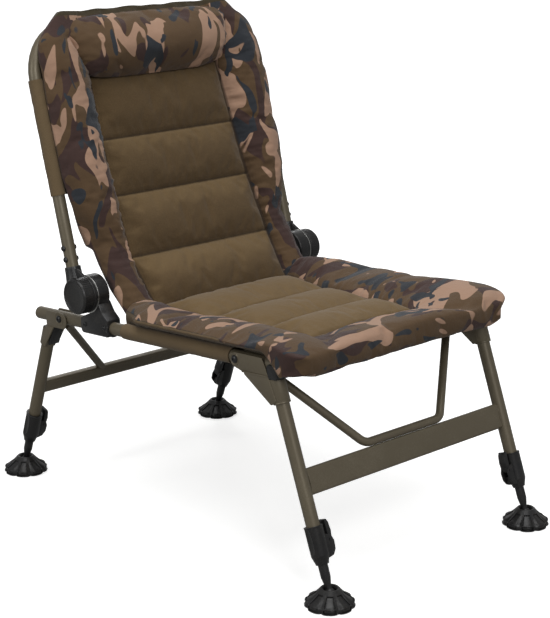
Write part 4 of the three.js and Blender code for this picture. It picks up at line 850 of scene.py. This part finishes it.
def rounded(points, radii, steps=4, closed=True):
    """The corners of a flat outline rounded off; radii is one number or one for each corner."""
    count = len(points)
    radii = [radii] * count if isinstance(radii, (int, float)) else radii
    result = []
    for k, corner in enumerate(points):
        if radii[k] <= 0 or (not closed and k in (0, count - 1)):
            result.append(tuple(corner))
            continue
        here = Vector(corner)
        before, after = Vector(points[k - 1]) - here, Vector(points[(k + 1) % count]) - here
        angle = before.angle(after)
        reach = radii[k] / math.tan(angle / 2)
        reach = min(reach, before.length * 0.49, after.length * 0.49)
        start, end = here + before.normalized() * reach, here + after.normalized() * reach
        turn = math.pi - angle
        for i in range(steps + 1):
            share = i / steps
            a = math.sin((1 - share) * turn) / math.sin(turn) if turn > 1e-3 else 1 - share
            b = math.sin(share * turn) / math.sin(turn) if turn > 1e-3 else share
            radius = reach * math.tan(angle / 2)
            centre = here + (before.normalized() + after.normalized()).normalized() * (
                radius / math.sin(angle / 2))
            result.append(tuple(centre + (start - centre) * a + (end - centre) * b))
    return result


def lathe(name, profile, sides=48, closed=False):
    """Turns a profile of (radius, height) points round the Z axis."""
    line = [(r, 0, z) for r, z in profile]
    obj = chain(name, line + line[:1] if closed else line)
    bpy.ops.mesh.select_all(action="SELECT")
    bpy.ops.mesh.spin(steps=sides, angle=2 * math.pi, center=(0, 0, 0), axis=(0, 0, 1))
    outward()
    done()
    return obj


def plate(name, outline, near, far, edge=0.5):
    """An outline of (y, z) points filled, extruded along X and softened along its edges."""
    obj = chain(name, [(near, y, z) for y, z in outline])
    bpy.ops.mesh.select_all(action="SELECT")
    bpy.ops.mesh.edge_face_add()
    move((far - near, 0, 0))
    outward()
    done()
    return softened(obj, edge)


def softened(obj, edge, segments=2, angle=40):
    if edge > 0:
        modified(obj, "BEVEL", width=edge, segments=segments, limit_method="ANGLE",
                 angle_limit=math.radians(angle))
    return obj


def pipe(name, corners, bend, radius, wall=0, sides=32):
    """A round tube or rod along a line with rounded corners."""
    radii = [0] + [bend] * (len(corners) - 2) + [0]
    path = rounded(corners, radii, 10, closed=False) if len(corners) > 2 else corners
    obj = chain(name, path)
    done()
    pick(obj)
    bpy.ops.object.convert(target="CURVE")
    obj.data.bevel_depth = radius
    obj.data.bevel_resolution = (sides - 4) // 2
    obj.data.use_fill_caps = wall == 0
    bpy.ops.object.convert(target="MESH")
    edit(obj)
    outward()
    done()
    return modified(obj, "SOLIDIFY", thickness=wall, offset=-1) if wall else obj


def cut(obj, tool):
    modified(obj, "BOOLEAN", operation="DIFFERENCE", solver="EXACT", object=tool)
    bpy.data.objects.remove(tool)
    return obj


def moved(obj, place=(0, 0, 0), turn=(0, 0, 0), scale=(1, 1, 1)):
    """Moves and turns (in degrees) a piece in its group's frame and applies it."""
    obj.location = place
    obj.rotation_euler = [math.radians(t) for t in turn]
    obj.scale = scale
    pick(obj)
    bpy.ops.object.transform_apply(location=True, rotation=True, scale=True)
    return obj


def joined(*objects):
    pick(*objects[::-1])
    bpy.ops.object.join()
    return objects[0]


def mirrored(obj, name):
    twin = obj.copy()
    twin.data = obj.data.copy()
    twin.name = name
    scene.collection.objects.link(twin)
    moved(twin, scale=(-1, 1, 1))
    edit_all(twin)
    bpy.ops.mesh.normals_make_consistent(inside=False)
    done()
    return twin


BODIES = {"seat": "seat_frame", "back": "backrest", "front": "front_legs", "rear": "rear_legs"}


def settle(obj, group, body, material, node=None, smooth=35):
    """Puts a finished piece into the chair's frame, on its body, for its CAD node."""
    obj.matrix_world = (group_matrix(group) if group else Matrix.Scale(0.001, 4)) @ obj.matrix_world
    pick(obj)
    bpy.ops.object.transform_apply(location=True, rotation=True, scale=True)
    bpy.ops.object.shade_smooth_by_angle(angle=math.radians(smooth))
    obj.data.materials.clear()
    obj.data.materials.append(material)
    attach(obj, body)
    if node:
        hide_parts(node)
    return obj


def both(obj, stem, group, material, smooth=35, body="", node="{stem}_{side}"):
    """Settles a piece of the left side (x > 0) and its mirror image on the right.

    It rides its group's body unless another one is named."""
    obj.name = f"{stem}_left"
    twin = mirrored(obj, f"{stem}_right")
    for side, one in (("left", obj), ("right", twin)):
        rides = body.format(side=side) or BODIES[group]
        settle(one, group, rides, material, node.format(stem=stem, side=side), smooth)


def pick_faces(obj, test):
    """Leaves the piece in edit mode, with the faces selected whose centres pass the test."""
    edit(obj)
    bpy.ops.mesh.select_mode(type="FACE")
    bpy.ops.mesh.select_all(action="DESELECT")
    done()
    for face in obj.data.polygons:
        face.select = bool(test(face.center))
    edit(obj)


def swell_faces(height, **settings):
    """Raises or sinks the selected faces as one region."""
    bpy.ops.mesh.extrude_region_shrink_fatten(
        TRANSFORM_OT_shrink_fatten={"value": height, **settings})


def vertices_again():
    bpy.ops.mesh.select_mode(type="VERT")
    done()


def along_x(obj, x=0, y=0, z=0, facing=1):
    """Lays a turned piece, modelled along Z, along X."""
    return moved(obj, (x, y, z), (0, 90 * facing, 0))


def hexagon(radius, depth, height=0.0):
    """A hexagonal prism along Z, centred at a height."""
    deselect()
    bpy.ops.mesh.primitive_cylinder_add(vertices=6, radius=radius, depth=depth,
                                        location=(0, 0, height))
    return bpy.context.object


def domed(radius, height, socket=1.6):
    """A domed screw head with a hexagon socket, standing on z = 0."""
    dome = [(0, height), (radius * 0.45, height * 0.94), (radius * 0.8, height * 0.66),
            (radius, height * 0.22), (radius, 0), (0, 0)]
    head = lathe("screw", dome, 32)
    return cut(head, hexagon(socket, height, height * 0.95))


# Seat frame

def seat_frame():
    rails = pipe("seat_rails", [(-RAIL_X, RAIL_REAR, 0), (-RAIL_X, RAIL_FRONT, 0),
                                (RAIL_X, RAIL_FRONT, 0), (RAIL_X, RAIL_REAR, 0)], 45, TUBE, 1.8)
    settle(rails, "seat", "seat_frame", PAINT, "seat_tube")
    cap = lathe("cap", [(0, 3), (7.6, 2.85), (9.6, 2.2), (10.8, 1.0), (11, 0.2), (11, 0), (8.9, 0),
                        (8.9, -14), (0, -14)])
    both(moved(cap, (RAIL_X, RAIL_REAR + 0.2, 0), (-90, 0, 0)), "rail_cap", "seat", PLASTIC,
         node="rail_end_cap_{side}")


def knuckles():
    """The two bases with their clamps on the rails, their screws, washers and axles."""
    y, z = HINGE
    drum = lathe("drum", rounded([(5.3, 224), (32.4, 224), (32.4, 247.5), (5.3, 247.5)],
                                 [0, 3, 1, 0], 4), 96, closed=True)
    along_x(drum, 0, y, z)
    outline = rounded([(23.4, -69.5), (23.4, -42.3), (-7, -31.7), (0, 0), (-27.9, -12.4),
                       (-38, -28.7), (-51.5, -40.7), (-51.5, -69.5)],
                      [7, 9, 7, 0, 0, 12, 4, 5], 5)
    clamp = plate("clamp", [(a + y, b + z) for a, b in outline], 221, 249, 1.6)
    for radius, near, far, sides in ((32, 247.6, 290, 64), (11, 205, 224, 48)):
        room = lathe("room", [(0, near), (radius, near), (radius, far), (0, far)], sides)
        cut(clamp, along_x(room, 0, y, z))
    bore = pipe("bore", [(RAIL_X, 60, 0), (RAIL_X, 260, 0)], 0, TUBE + 0.3, sides=48)
    base = cut(joined(clamp, drum), bore)
    mouth = lathe("mouth", rounded([(11.3, 0), (15.4, 0), (14.4, 7), (11.3, 7)],
                                   [0, 1.4, 0.8, 0], 3), 48, closed=True)
    base = joined(base, moved(mouth, (RAIL_X, 121.4, 0), (-90, 0, 0)))
    both(base, "knuckle_base", "seat", PLASTIC, 38)
    screws = [along_x(domed(4.6, 2.8), 248.6, at, 1.8) for at in (184.3, 131.2)]
    both(joined(*screws), "clamp_screws", "seat", BLACK_STEEL, node="")
    washer = lathe("washer", rounded([(5.3, 247.8), (32.8, 247.8), (32.8, 249.1), (5.3, 249.1)],
                                     [0, 0.4, 0.4, 0], 2), 96, closed=True)
    both(along_x(washer, 0, y, z), "knuckle_washer", "seat", ZINC)
    head = softened(hexagon(9, 5.5, 221), 0.7)
    shank = lathe("shank", [(0, 220), (5, 220), (5, 269), (4, 269.7), (0, 269.7)], 24)
    both(along_x(joined(head, shank), 0, y, z), "knuckle_axle", "seat", BLACK_STEEL)


KNOB_SIDES = 144


def knobs():
    """The recline knobs, dished outside, with a rib on two of every three of their faces."""
    y, z = HINGE
    profile = [(5.3, 255.7), (30, 255.7), (30.3, 256.2), (30.3, 272.5), (29.9, 274.6),
               (28.6, 276.3), (27, 276.7), (25.9, 276.2), (25.2, 275.0), (24, 274.3),
               (12, 273.9), (0, 273.8)]
    knob = lathe("knob", [(0, 269.8), (5.3, 269.8), *profile], KNOB_SIDES)

    def on_rib(centre):
        turn = (math.atan2(centre.y, centre.x) + math.pi) / (2 * math.pi)
        around = math.hypot(centre.x, centre.y) > 29.5 and 256.5 < centre.z < 272.4
        return around and int(turn * KNOB_SIDES + 0.01) % 3 < 2

    pick_faces(knob, on_rib)
    swell_faces(0.6, use_even_offset=False)
    vertices_again()
    both(along_x(knob, 0, y, z), "recline_knob", "seat", PLASTIC, 32, "knob_{side}")


# Backrest

def back_frame():
    x, y = UPRIGHT_X, UPRIGHT_SETBACK
    tube = pipe("back_uprights", [(-x, y, 46), (-x, y, BACK_CROWN), (x, y, BACK_CROWN), (x, y, 46)],
                BACK_BEND, TUBE, 1.8)
    settle(tube, "back", "backrest", PAINT, "back_tube")
    disc = along_x(lathe("disc", rounded([(5.3, 249.4), (31, 249.4), (31, 255.4), (5.3, 255.4)],
                                         [0, 1, 1, 0], 3), 96, closed=True))
    lug = plate("lug", rounded([(-15.5, 0), (24, -15.5), (38.5, 14), (38, 36), (10, 46), (-8, 30)],
                               [0, 0, 4, 3, 6, 8], 5), 249.4, 255.4, 0.8)
    flare = lathe("flare", [(11.3, 50.2), (13.2, 50.2), (14, 49.6), (14.1, 46), (14.4, 38),
                            (15.6, 26), (17.5, 14), (11.3, 14)], 12, closed=True)
    flare = softened(moved(flare, (x, y, 0), (0, 0, 15)), 0.9, 2, 20)
    for room in (lathe("room", [(0, 200), (32.6, 200), (32.6, 249.35), (0, 249.35)], 64),
                 lathe("room", [(0, 255.45), (32, 255.45), (32, 300), (0, 300)], 64)):
        cut(flare, along_x(room))
    spigot = pipe("spigot", [(x, y, 36), (x, y, 92)], 0, 8.9)
    both(joined(disc, lug, flare, spigot), "knuckle_arm", "back", PLASTIC, 30)
    for place, height in (("lower", 63), ("upper", 82.5)):
        shank = pipe("shank", [(x - 12, y, height), (x + 12, y, height)], 0, 2.5, sides=16)
        outer = along_x(domed(5, 3.5), x + 11.2, y, height)
        inner = along_x(domed(5, 3.5), x - 11.2, y, height, -1)
        both(joined(shank, outer, inner), f"{place}_cross_bolt", "back", BLACK_STEEL)


# Leg frames: heights in a group are distances from the ball less the reach

LEGS = {
    "front": dict(dir=-1, reach=380.55, leg_y=-68.9, turn=16.8, top=338.23, pivot=-197.5),
    "rear": dict(dir=1, reach=328.64, leg_y=32.8, turn=-22.7, top=292.59, pivot=259.6),
}


def from_rail(leg, towards, height):
    """A point towards the leg and above the rail, in the leg frame's own directions."""
    c, s = math.cos(math.radians(leg["turn"])), math.sin(math.radians(leg["turn"]))
    y = leg["dir"] * towards
    return (y * c - height * s, y * s + height * c)


def on_rail(leg, outline):
    """An outline laid out along the rail from the pivot."""
    return [from_rail(leg, leg["dir"] * y, z) for y, z in outline]


def cut_below_rail(obj, leg, drop, fill):
    """Cuts a piece off along the rail, at a depth below the rail's centre."""
    turn = math.radians(leg["turn"])
    edit_all(obj)
    bpy.ops.mesh.bisect(plane_co=(RAIL_X, *from_rail(leg, 0, -drop)), clear_outer=True,
                        plane_no=(0, -math.sin(turn), math.cos(turn)), use_fill=fill)
    done()
    return obj


def legs(name):
    leg = LEGS[name]
    y, ball = leg["leg_y"], -leg["reach"]
    tube = pipe("leg", [(RAIL_X, y, ball + 80), (RAIL_X, y, ball + leg["top"] + 20)], 0, TUBE)
    both(cut_below_rail(tube, leg, 20.7, True), f"{name}_leg_tube", name, PAINT,
         node=name + "_leg_{side}")
    telescope(name, (RAIL_X, y, ball))


def telescope(name, place):
    """Collar, lever and inner leg, modelled from the ball upwards."""
    shell = lathe("collar", rounded([(8.1, 46), (10.4, 46), (10.9, 49), (14.5, 60), (14.6, 103),
                                     (15.3, 106), (11.4, 106), (11.4, 79.6), (8.1, 79.6)],
                                    [0, 0.8, 2, 5, 3, 0.5, 0, 0, 0], 3), 64, closed=True)
    drop = lathe("drop", [(0, -17), (3.2, -14), (5.0, -8), (5.4, 0), (5.0, 9), (4.2, 16), (3.2, 20),
                          (0, 22)], 32)
    cut(shell, moved(drop, (15.0, 1.5, 80), scale=(0.55, 1.6, 1.12)))
    spine = plate("spine", rounded([(-5.2, 54), (5.2, 54), (6.2, 68), (-6.2, 68)], 2.2, 3),
                  -21.5, -12, 1.6)
    outline = rounded([(-10, 53), (-20, 55), (-26.2, 63), (-27.4, 76), (-23.5, 85.8), (-12, 90)],
                      [0, 4, 4, 5, 4, 0], 4)
    ears = [moved(plate("ear", outline, 0, 3, 0.5), (0, y, 0), (0, 0, -90)) for y in (-5.8, 8.8)]
    collar = joined(shell, spine, *ears)
    both(moved(collar, place), f"{name}_collar", name, PLASTIC, 38)
    barrel = pipe("barrel", [(-20.5, -5.5, 80), (-20.5, 5.5, 80)], 0, 4.8)
    pin = pipe("pin", [(-20.5, -9.8, 80), (-20.5, 9.8, 80)], 0, 2.6, sides=16)
    arm = plate("arm", rounded([(-18, 83), (-18.4, 92), (-17.4, 110), (-22, 111.5), (-25.2, 106),
                                (-27, 92), (-25.2, 81)], [1, 0, 1.2, 1.5, 3, 3, 2], 4), 0, 15, 1.2)
    lever = joined(barrel, pin, moved(arm, (0, 7.5, 0), (0, 0, -90)))
    both(moved(lever, place), f"{name}_lever", name, PLASTIC, 38, name + "_{side}_lever")
    ball = [(9 * math.cos(t), 9 * math.sin(t)) for t in np.linspace(-math.pi / 2, 0.98, 14)]
    profile = [(max(r, 0), z) for r, z in ball]
    profile += [(5, 9.5), (5, 13), (6.2, 18), (7.7, 26), (7.75, 40), (7.75, 191), (8.9, 191),
                (8.9, 205), (0, 205)]
    both(moved(lathe("inner", profile, 40), place), f"{name}_inner_leg", name, PLASTIC,
         body=name + "_{side}_inner_leg")


LOBE = 45  # degrees from one lobe of a foot to the next


def foot(name, world_y):
    """A mud foot: a turned dome, drawn in between its eight lobes, with pockets in each lobe."""
    rings = [(37.4, 0), (39.4, 1.2), (39.6, 7.5), (38.2, 10.2), (34.0, 13.2), (29.5, 16.0),
             (24.0, 20.2), (19.5, 24.4), (16.2, 28.0), (14.4, 29.8), (12.8, 29.8), (10.4, 26.5),
             (9.9, 20), (9.9, 12), (0, 11)]
    dome = lathe("foot", [(0, 0), *rings], 64)
    points = coordinates(dome)
    angle = np.arctan2(points[:, 1], points[:, 0])
    radius = np.hypot(points[:, 0], points[:, 1])
    valley = (1 - np.abs(np.cos(4 * angle))) ** 2.2
    outer = np.clip((radius - 16) / 22, 0, 1)
    shrink = 1 - 0.11 * valley * outer
    points[:, 0] *= shrink
    points[:, 1] *= shrink
    points[:, 2] -= 1.6 * valley * outer * (points[:, 2] > 3)
    set_coordinates(dome, points)

    for low, high, half, depth in ((1.5, 9.5, 15, 2.8), (11, 23.5, 14.5, 2.4)):
        def in_pocket(centre):
            turn = math.degrees(math.atan2(centre.y, centre.x)) % LOBE
            near = min(turn, LOBE - turn) < half
            return low < centre.z < high and near and math.hypot(centre.x, centre.y) > 16

        pick_faces(dome, in_pocket)
        bpy.ops.mesh.inset(thickness=0.9, depth=0)
        swell_faces(-depth)
        bpy.ops.mesh.inset(thickness=0.7, depth=0.5)
        vertices_again()
    softened(dome, 0.35, 1, 50)
    both(moved(dome, (RAIL_X, world_y, 0)), f"{name}_foot", None, PLASTIC, 40,
         name + "_{side}_foot")


CHEEK_GAP = 11.4
CHEEK = 2.2


def plate_pair(name, outline, near, far, edge):
    """Two plates astride the rail, between two distances from its centre line."""
    return [plate(name, outline, RAIL_X + side * near, RAIL_X + side * far, edge)
            for side in (1, -1)]


def cheeks(outline, thickness):
    """A pair of pressed plates astride the rail, from an outline in the group's directions."""
    return plate_pair("cheek", outline, CHEEK_GAP, CHEEK_GAP + thickness, 0.7)


def bosses(profile):
    """Pressed rings round the pivot, on the outer faces of both cheeks."""
    off = CHEEK_GAP + 2.0
    return [along_x(lathe("boss", profile, 48, closed=True), RAIL_X + side * off, 0, 0, side)
            for side in (1, -1)]


def socket_ring(leg, length):
    """The socket that holds the leg's top, with a rolled seam at its lower end."""
    low, high = leg["top"] - length - leg["reach"], leg["top"] + 20 - leg["reach"]
    ring = lathe("socket", [(11.35, low), (13.2, low), (13.7, low + 0.6), (13.7, low + 2.2),
                            (13.3, low + 2.9), (13.6, low + 3.4), (13.6, high), (11.35, high)],
                 48, closed=True)
    return cut_below_rail(moved(ring, (RAIL_X, leg["leg_y"], 0)), leg, 20.6, False)


LEG_CROSSING = 78.19  # along the rail, from the front pivot to the leg's centre line


def front_bracket():
    """The front legs' brackets: cheeks, pivot rings, gussets, a web, a socket and its saddle."""
    leg = LEGS["front"]
    shape = rounded([(7, -11), (-14, -17), (-75, -17), (-62, 11), (2, 11), (11, 3)],
                    [9, 10, 1.5, 4, 8, 9], 5)
    parts = cheeks(on_rail(leg, shape), CHEEK)
    parts += bosses([(4.2, -0.4), (10, -0.4), (10, 0.5), (9.2, 1.0), (8.4, 0.6), (7.9, 0.1),
                     (4.2, 0.1)])
    low = leg["top"] - 40 - leg["reach"]
    gusset = [from_rail(leg, 14, -16), from_rail(leg, 75, -16), (leg["leg_y"] - 3, low + 4),
              (leg["leg_y"] + 10.6, low + 1)]
    parts += cheeks(rounded(gusset, [3, 1.5, 4, 3], 4), 3.2)
    lip = [from_rail(leg, 15, -15.6), from_rail(leg, 74.5, -15.6), from_rail(leg, 74.8, -18.2),
           from_rail(leg, 17, -18.2)]
    parts += plate_pair("lip", lip, 14.2, 15.0, 0.3)
    start, end = gusset[0], gusset[3]
    web = [(lerp(start[0], end[0], s), lerp(start[1], end[1], s)) for s in (0.45, 1)]
    slab = [web[0], (web[0][0] - 3, web[0][1] + 3), (web[1][0] - 3, web[1][1] + 3), web[1]]
    parts.append(plate("web", slab, RAIL_X - CHEEK_GAP, RAIL_X + CHEEK_GAP, 0.4))
    parts.append(socket_ring(leg, 40))
    both(joined(*parts), "front_bracket", "front", PAINT, 40)
    saddle = rounded([(9, -20.3), (-17, -20.3), (-17.4, -4), (-9, 3), (4.5, 3), (9, -8)],
                     [3, 5, 7, 6, 5, 3], 5)
    saddle = [(y - LEG_CROSSING, z) for y, z in saddle]
    body = plate("saddle", on_rail(leg, saddle), RAIL_X - 14.2, RAIL_X + 14.2, 2.0)
    rail = pipe("rail", [(RAIL_X, 0, 0), (RAIL_X, -220, 0)], 0, TUBE + 0.6, sides=48)
    cut(body, moved(rail, turn=(leg["turn"], 0, 0)))
    cheek_room = on_rail(leg, [(0, -40), (-79, -40), (-70.6, 11.5), (0, 11.5)])
    for near, far in ((245.9, 260), (224.1, 210)):
        cut(body, plate("room", cheek_room, near, far, 0))
    both(body, "front_saddle", "front", PLASTIC, 40)


def rear_bracket():
    """The rear legs' brackets, with the plastic wedge in front of the leg."""
    leg = LEGS["rear"]
    low = leg["top"] - 36 - leg["reach"]
    shape = rounded([(-13, -17), (38, -17), (38, 5), (33, 11), (-9, 11), (-20, 5), (-20, -7)],
                    [7, 1.5, 4, 4, 9, 8, 9], 5)
    parts = cheeks(on_rail(leg, shape), CHEEK)
    parts += bosses([(8.2, -0.4), (12.4, -0.4), (12.4, 0.3), (11.6, 1.1), (10.4, 1.2), (9.2, 0.8),
                     (8.2, 0.1)])
    gusset = [from_rail(leg, 17, -16.5), from_rail(leg, 38, -16.5), (leg["leg_y"] + 3, low + 2),
              (leg["leg_y"] - 10.6, low + 2)]
    parts += cheeks(rounded(gusset, [1, 1.5, 4, 3], 4), 3.2)
    parts.append(socket_ring(leg, 36))
    both(joined(*parts), "rear_bracket", "rear", PAINT, 40)
    turn = math.radians(leg["turn"])
    near, far = 10, leg["leg_y"] - 13.9
    top = [(y, (-13.4 + y * math.sin(turn)) / math.cos(turn)) for y in (near, far)]
    tip = top[1][1] - 42
    wedge = rounded([*top, (far, tip), (far - 3, tip)], [2, 0, 0, 1], 3)
    body = plate("wedge", wedge, RAIL_X - 11, RAIL_X + 11, 1.0)
    both(body, "rear_wedge", "rear", PLASTIC, 40)


BRACE_FOOT = 151  # height of both braces' lower edges above the ball
SOCKET_SIDE = RAIL_X - 13.9  # inner face of the sockets


def flat_brace(leg, height, depth):
    """A flat oval tube from leg to leg."""
    y, low = leg["leg_y"], BRACE_FOOT - leg["reach"]
    outline = rounded([(y - depth / 2, low), (y + depth / 2, low), (y + depth / 2, low + height),
                       (y - depth / 2, low + height)], 4.6, 5)
    brace = plate("brace", outline, -RAIL_X, RAIL_X, 0)
    for x in (-RAIL_X, RAIL_X):
        cut(brace, pipe("room", [(x, y, -300), (x, y, 0)], 0, TUBE + 0.3, sides=48))
    return brace


def weld_bead():
    """A rolled bead of unit radius round the Z axis."""
    deselect()
    bpy.ops.mesh.primitive_torus_add(major_radius=1, minor_radius=0.09, major_segments=40,
                                     minor_segments=10, location=(0, 0, 0))
    bead = bpy.context.object
    points = coordinates(bead)
    angle = np.arctan2(points[:, 1], points[:, 0])
    points *= (1 + 0.012 * np.sin(angle * 17))[:, None]
    set_coordinates(bead, points)
    return bead


def braces():
    """Both cross braces, the front one welded to its legs, and the stays above them."""
    leg = LEGS["front"]
    y = leg["leg_y"]
    brace = flat_brace(leg, 42, 12)
    beads = [moved(weld_bead(), (side * 224.2, y, 172 - leg["reach"]), (0, 90, 0), (21.5, 6.6, 8))
             for side in (-1, 1)]
    settle(joined(brace, *beads), "front", "front_legs", PAINT, "front_brace", 40)
    run = BRACE_FOOT + 42 - leg["reach"] + 7.3
    top = from_rail(leg, 23.5, -9)
    bar = pipe("stay", [(-SOCKET_SIDE, *top), (-88, y, run), (88, y, run), (SOCKET_SIDE, *top)],
               24, 7, 1.4)
    settle(bar, "front", "front_legs", PAINT, "front_stay_bar", 40)
    leg = LEGS["rear"]
    brace = flat_brace(leg, 24, 15)
    foot_of_stay = BRACE_FOOT + 24 - leg["reach"] - 7
    top = from_rail(leg, 12, -9)
    beyond = [(-400, -400), (400, -400), (400, 400), (-400, 400)]
    for side in (-1, 1):
        stay = pipe("stay", [(side * 93, leg["leg_y"], foot_of_stay),
                             (side * (SOCKET_SIDE + 7), *top)], 0, 7)
        room = plate("room", beyond, *sorted((side * SOCKET_SIDE, side * 300)), 0)
        brace = joined(brace, cut(stay, room))
    settle(brace, "rear", "rear_legs", PAINT, "rear_brace", 40)


def pivot_bolts():
    for name, leg in LEGS.items():
        shank = pipe("shank", [(RAIL_X - 17, 0, 0), (RAIL_X + 16, 0, 0)], 0, 4, sides=20)
        head = along_x(domed(6.4, 3.6, 2.2), RAIL_X + 13.9)
        nut = along_x(softened(hexagon(7.5, 3.6), 0.6), RAIL_X - 13.9 - 1.8)
        bolt = moved(joined(shank, head, nut), (0, leg["pivot"], 0))
        both(bolt, f"{name}_pivot_bolt", "seat", BLACK_STEEL)


# Slings: one cloth each, with its edges turned round the tubes as sleeves

CLOTH_THICKNESS = 0.0012
SLEEVE_RADIUS = 12.45


def sling_mesh(name, group, grids):
    """Grids of points (rows, columns, 3) as one cloth, thickened."""
    points, faces = [], []
    for grid in grids:
        rows, columns = grid.shape[:2]
        start = len(points)
        points += [tuple(p) for p in grid.reshape(-1, 3)]
        for r in range(rows - 1):
            for c in range(columns - 1):
                a = start + r * columns + c
                faces.append((a, a + 1, a + columns + 1, a + columns))
    obj = mesh_object(name, points, faces, {}, group)
    edit_all(obj)
    bpy.ops.mesh.remove_doubles(threshold=0.0002)
    bpy.ops.mesh.normals_make_consistent(inside=False)
    done()
    return modified(obj, "SOLIDIFY", thickness=CLOTH_THICKNESS, offset=0)


def sleeve(rows, centre, start, place):
    """A grid round a tube: from the seam at the start angle once round the tube and back."""
    grid = []
    for k, at in enumerate(rows):
        line = []
        for i in range(41):
            share = i / 40
            angle = math.radians(start - 348 * share)
            ruffle = noise.noise(Vector((math.cos(angle) * 1.6, math.sin(angle) * 1.6, at / 26)))
            fold = noise.noise(Vector((share * 2.3, at / 9 + share * 5, 4.2)))
            radius = SLEEVE_RADIUS + 0.45 * (ruffle + fold) * min(1, min(k, len(rows) - 1 - k) / 3)
            line.append(place(centre + radius * math.cos(angle), radius * math.sin(angle), at))
        grid.append(line)
    return np.array(grid, float)


def sag(x, y):
    """How far the seat's cloth hangs below a plane between the rails, with broad ripples."""
    ripple = 0.6 + 0.4 * noise.noise(Vector((x / 90, y / 90, 1)))
    return -0.45 * (1 - min(abs(x) / 216, 1) ** 2) * ripple


def seat_sling():
    """Sleeves on the straight rails, and a narrower flap forward of them in the front bends."""
    grids = []
    for sign in (1, -1):
        grids.append(sleeve(np.linspace(89.5, -181, 60), RAIL_X, 165.5,
                            lambda x, z, y: (sign * x, y, z)))
    for half, rear, front, count in ((223, 89.5, -181, 60), (216.4, -181, -302, 26)):
        grids.append(np.array([[(x, y, 3.2 + sag(x, y)) for x in np.linspace(-half, half, 64)]
                               for y in np.linspace(rear, front, count)]))
    obj = sling_mesh("seat_cloth", "seat", grids)
    dress_cloth(obj, "seat_frame", "seat_sling")


def back_sling():
    """Sleeves on the straight uprights, and a flap with rounded corners above them."""
    rows = np.linspace(172.5, 370, 46)
    grids = []
    for sign in (1, -1):
        grids.append(sleeve(rows, UPRIGHT_X, 180,
                            lambda x, depth, z: (sign * x, UPRIGHT_SETBACK - depth, z)))
    half, corner, top = 237.6, 72, 436
    flat_rows = []
    for z in np.concatenate([rows, np.linspace(373, top, 16)]):
        past = max(z - (top - corner), 0)
        reach = half - corner + math.sqrt(max(corner ** 2 - past ** 2, 0))
        flat_rows.append([(x, UPRIGHT_SETBACK + 0.8 - 0.6 * (1 - (x / 240) ** 2), z)
                          for x in np.linspace(-reach, reach, 64)])
    grids.append(np.array(flat_rows))
    obj = sling_mesh("back_cloth", "back", grids)
    dress_cloth(obj, "backrest", "back_sling")


def dress_cloth(obj, body, node):
    pick(obj)
    bpy.ops.object.shade_smooth_by_angle(angle=math.radians(50))
    obj.data.materials.append(SLING)
    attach(obj, body)
    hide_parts(node)


dress_nodes()
seat_frame()
knuckles()
knobs()
back_frame()
for leg_frame in LEGS:
    legs(leg_frame)
foot("front", -396.01)
foot("rear", 395.96)
front_bracket()
rear_bracket()
braces()
pivot_bolts()
seat_sling()
back_sling()
seat_mattress()
back_mattress()
pillow()


# Floor, light and camera

def floor():
    bpy.ops.mesh.primitive_plane_add(size=40, location=(0, 0, 0))
    ground = bpy.context.object
    ground.name = "floor"
    ground.data.materials.append(FLOOR)


def area_light(name, place, size, power):
    data = bpy.data.lights.new(name, "AREA")
    data.shape = "RECTANGLE"
    data.size, data.size_y = size
    data.energy = power
    lamp = bpy.data.objects.new(name, data)
    lamp.location = place
    aim = Vector((0, 0, 0.4)) - Vector(place)
    lamp.rotation_euler = aim.to_track_quat("-Z", "Y").to_euler()
    scene.collection.objects.link(lamp)


def studio():
    """White to the camera, dim to everything else, and lit by large soft boxes."""
    world = bpy.data.worlds.new("studio")
    world.use_nodes = True
    g = Graph(world.node_tree)
    sky = g.mix(backdrop_ray(g), (0.31, 0.31, 0.31, 1), (1, 1, 1, 1))
    backdrop = world.node_tree.nodes["Background"]
    world.node_tree.links.new(sky, backdrop.inputs["Color"])
    scene.world = world
    area_light("key", (-1.5, -3.2, 2.4), (1.3, 1.6), 50)
    area_light("overhead", (-0.3, -0.3, 3.4), (2.2, 2.2), 54)
    area_light("side", (-3.4, 0.6, 1.7), (1.2, 1.8), 30)
    area_light("rim", (1.9, 2.7, 2.4), (1.6, 1.6), 26)
    scene.view_settings.view_transform = "Standard"


FOCAL_LENGTH, LONG_SIDE = 1749.3, 618  # px
EYE = (-1.9730, -2.1234, 1.1560)
DOWN, ASIDE = 15.65, -43.22  # degrees


def camera():
    """The camera that was fitted to the photo."""
    data = bpy.data.cameras.new("camera")
    data.sensor_width = 36
    data.lens = FOCAL_LENGTH * data.sensor_width / LONG_SIDE
    eye = bpy.data.objects.new("camera", data)
    eye.location = EYE
    eye.rotation_euler = (math.radians(90 - DOWN), 0, math.radians(ASIDE))
    scene.collection.objects.link(eye)
    scene.camera = eye


floor()
studio()
camera()
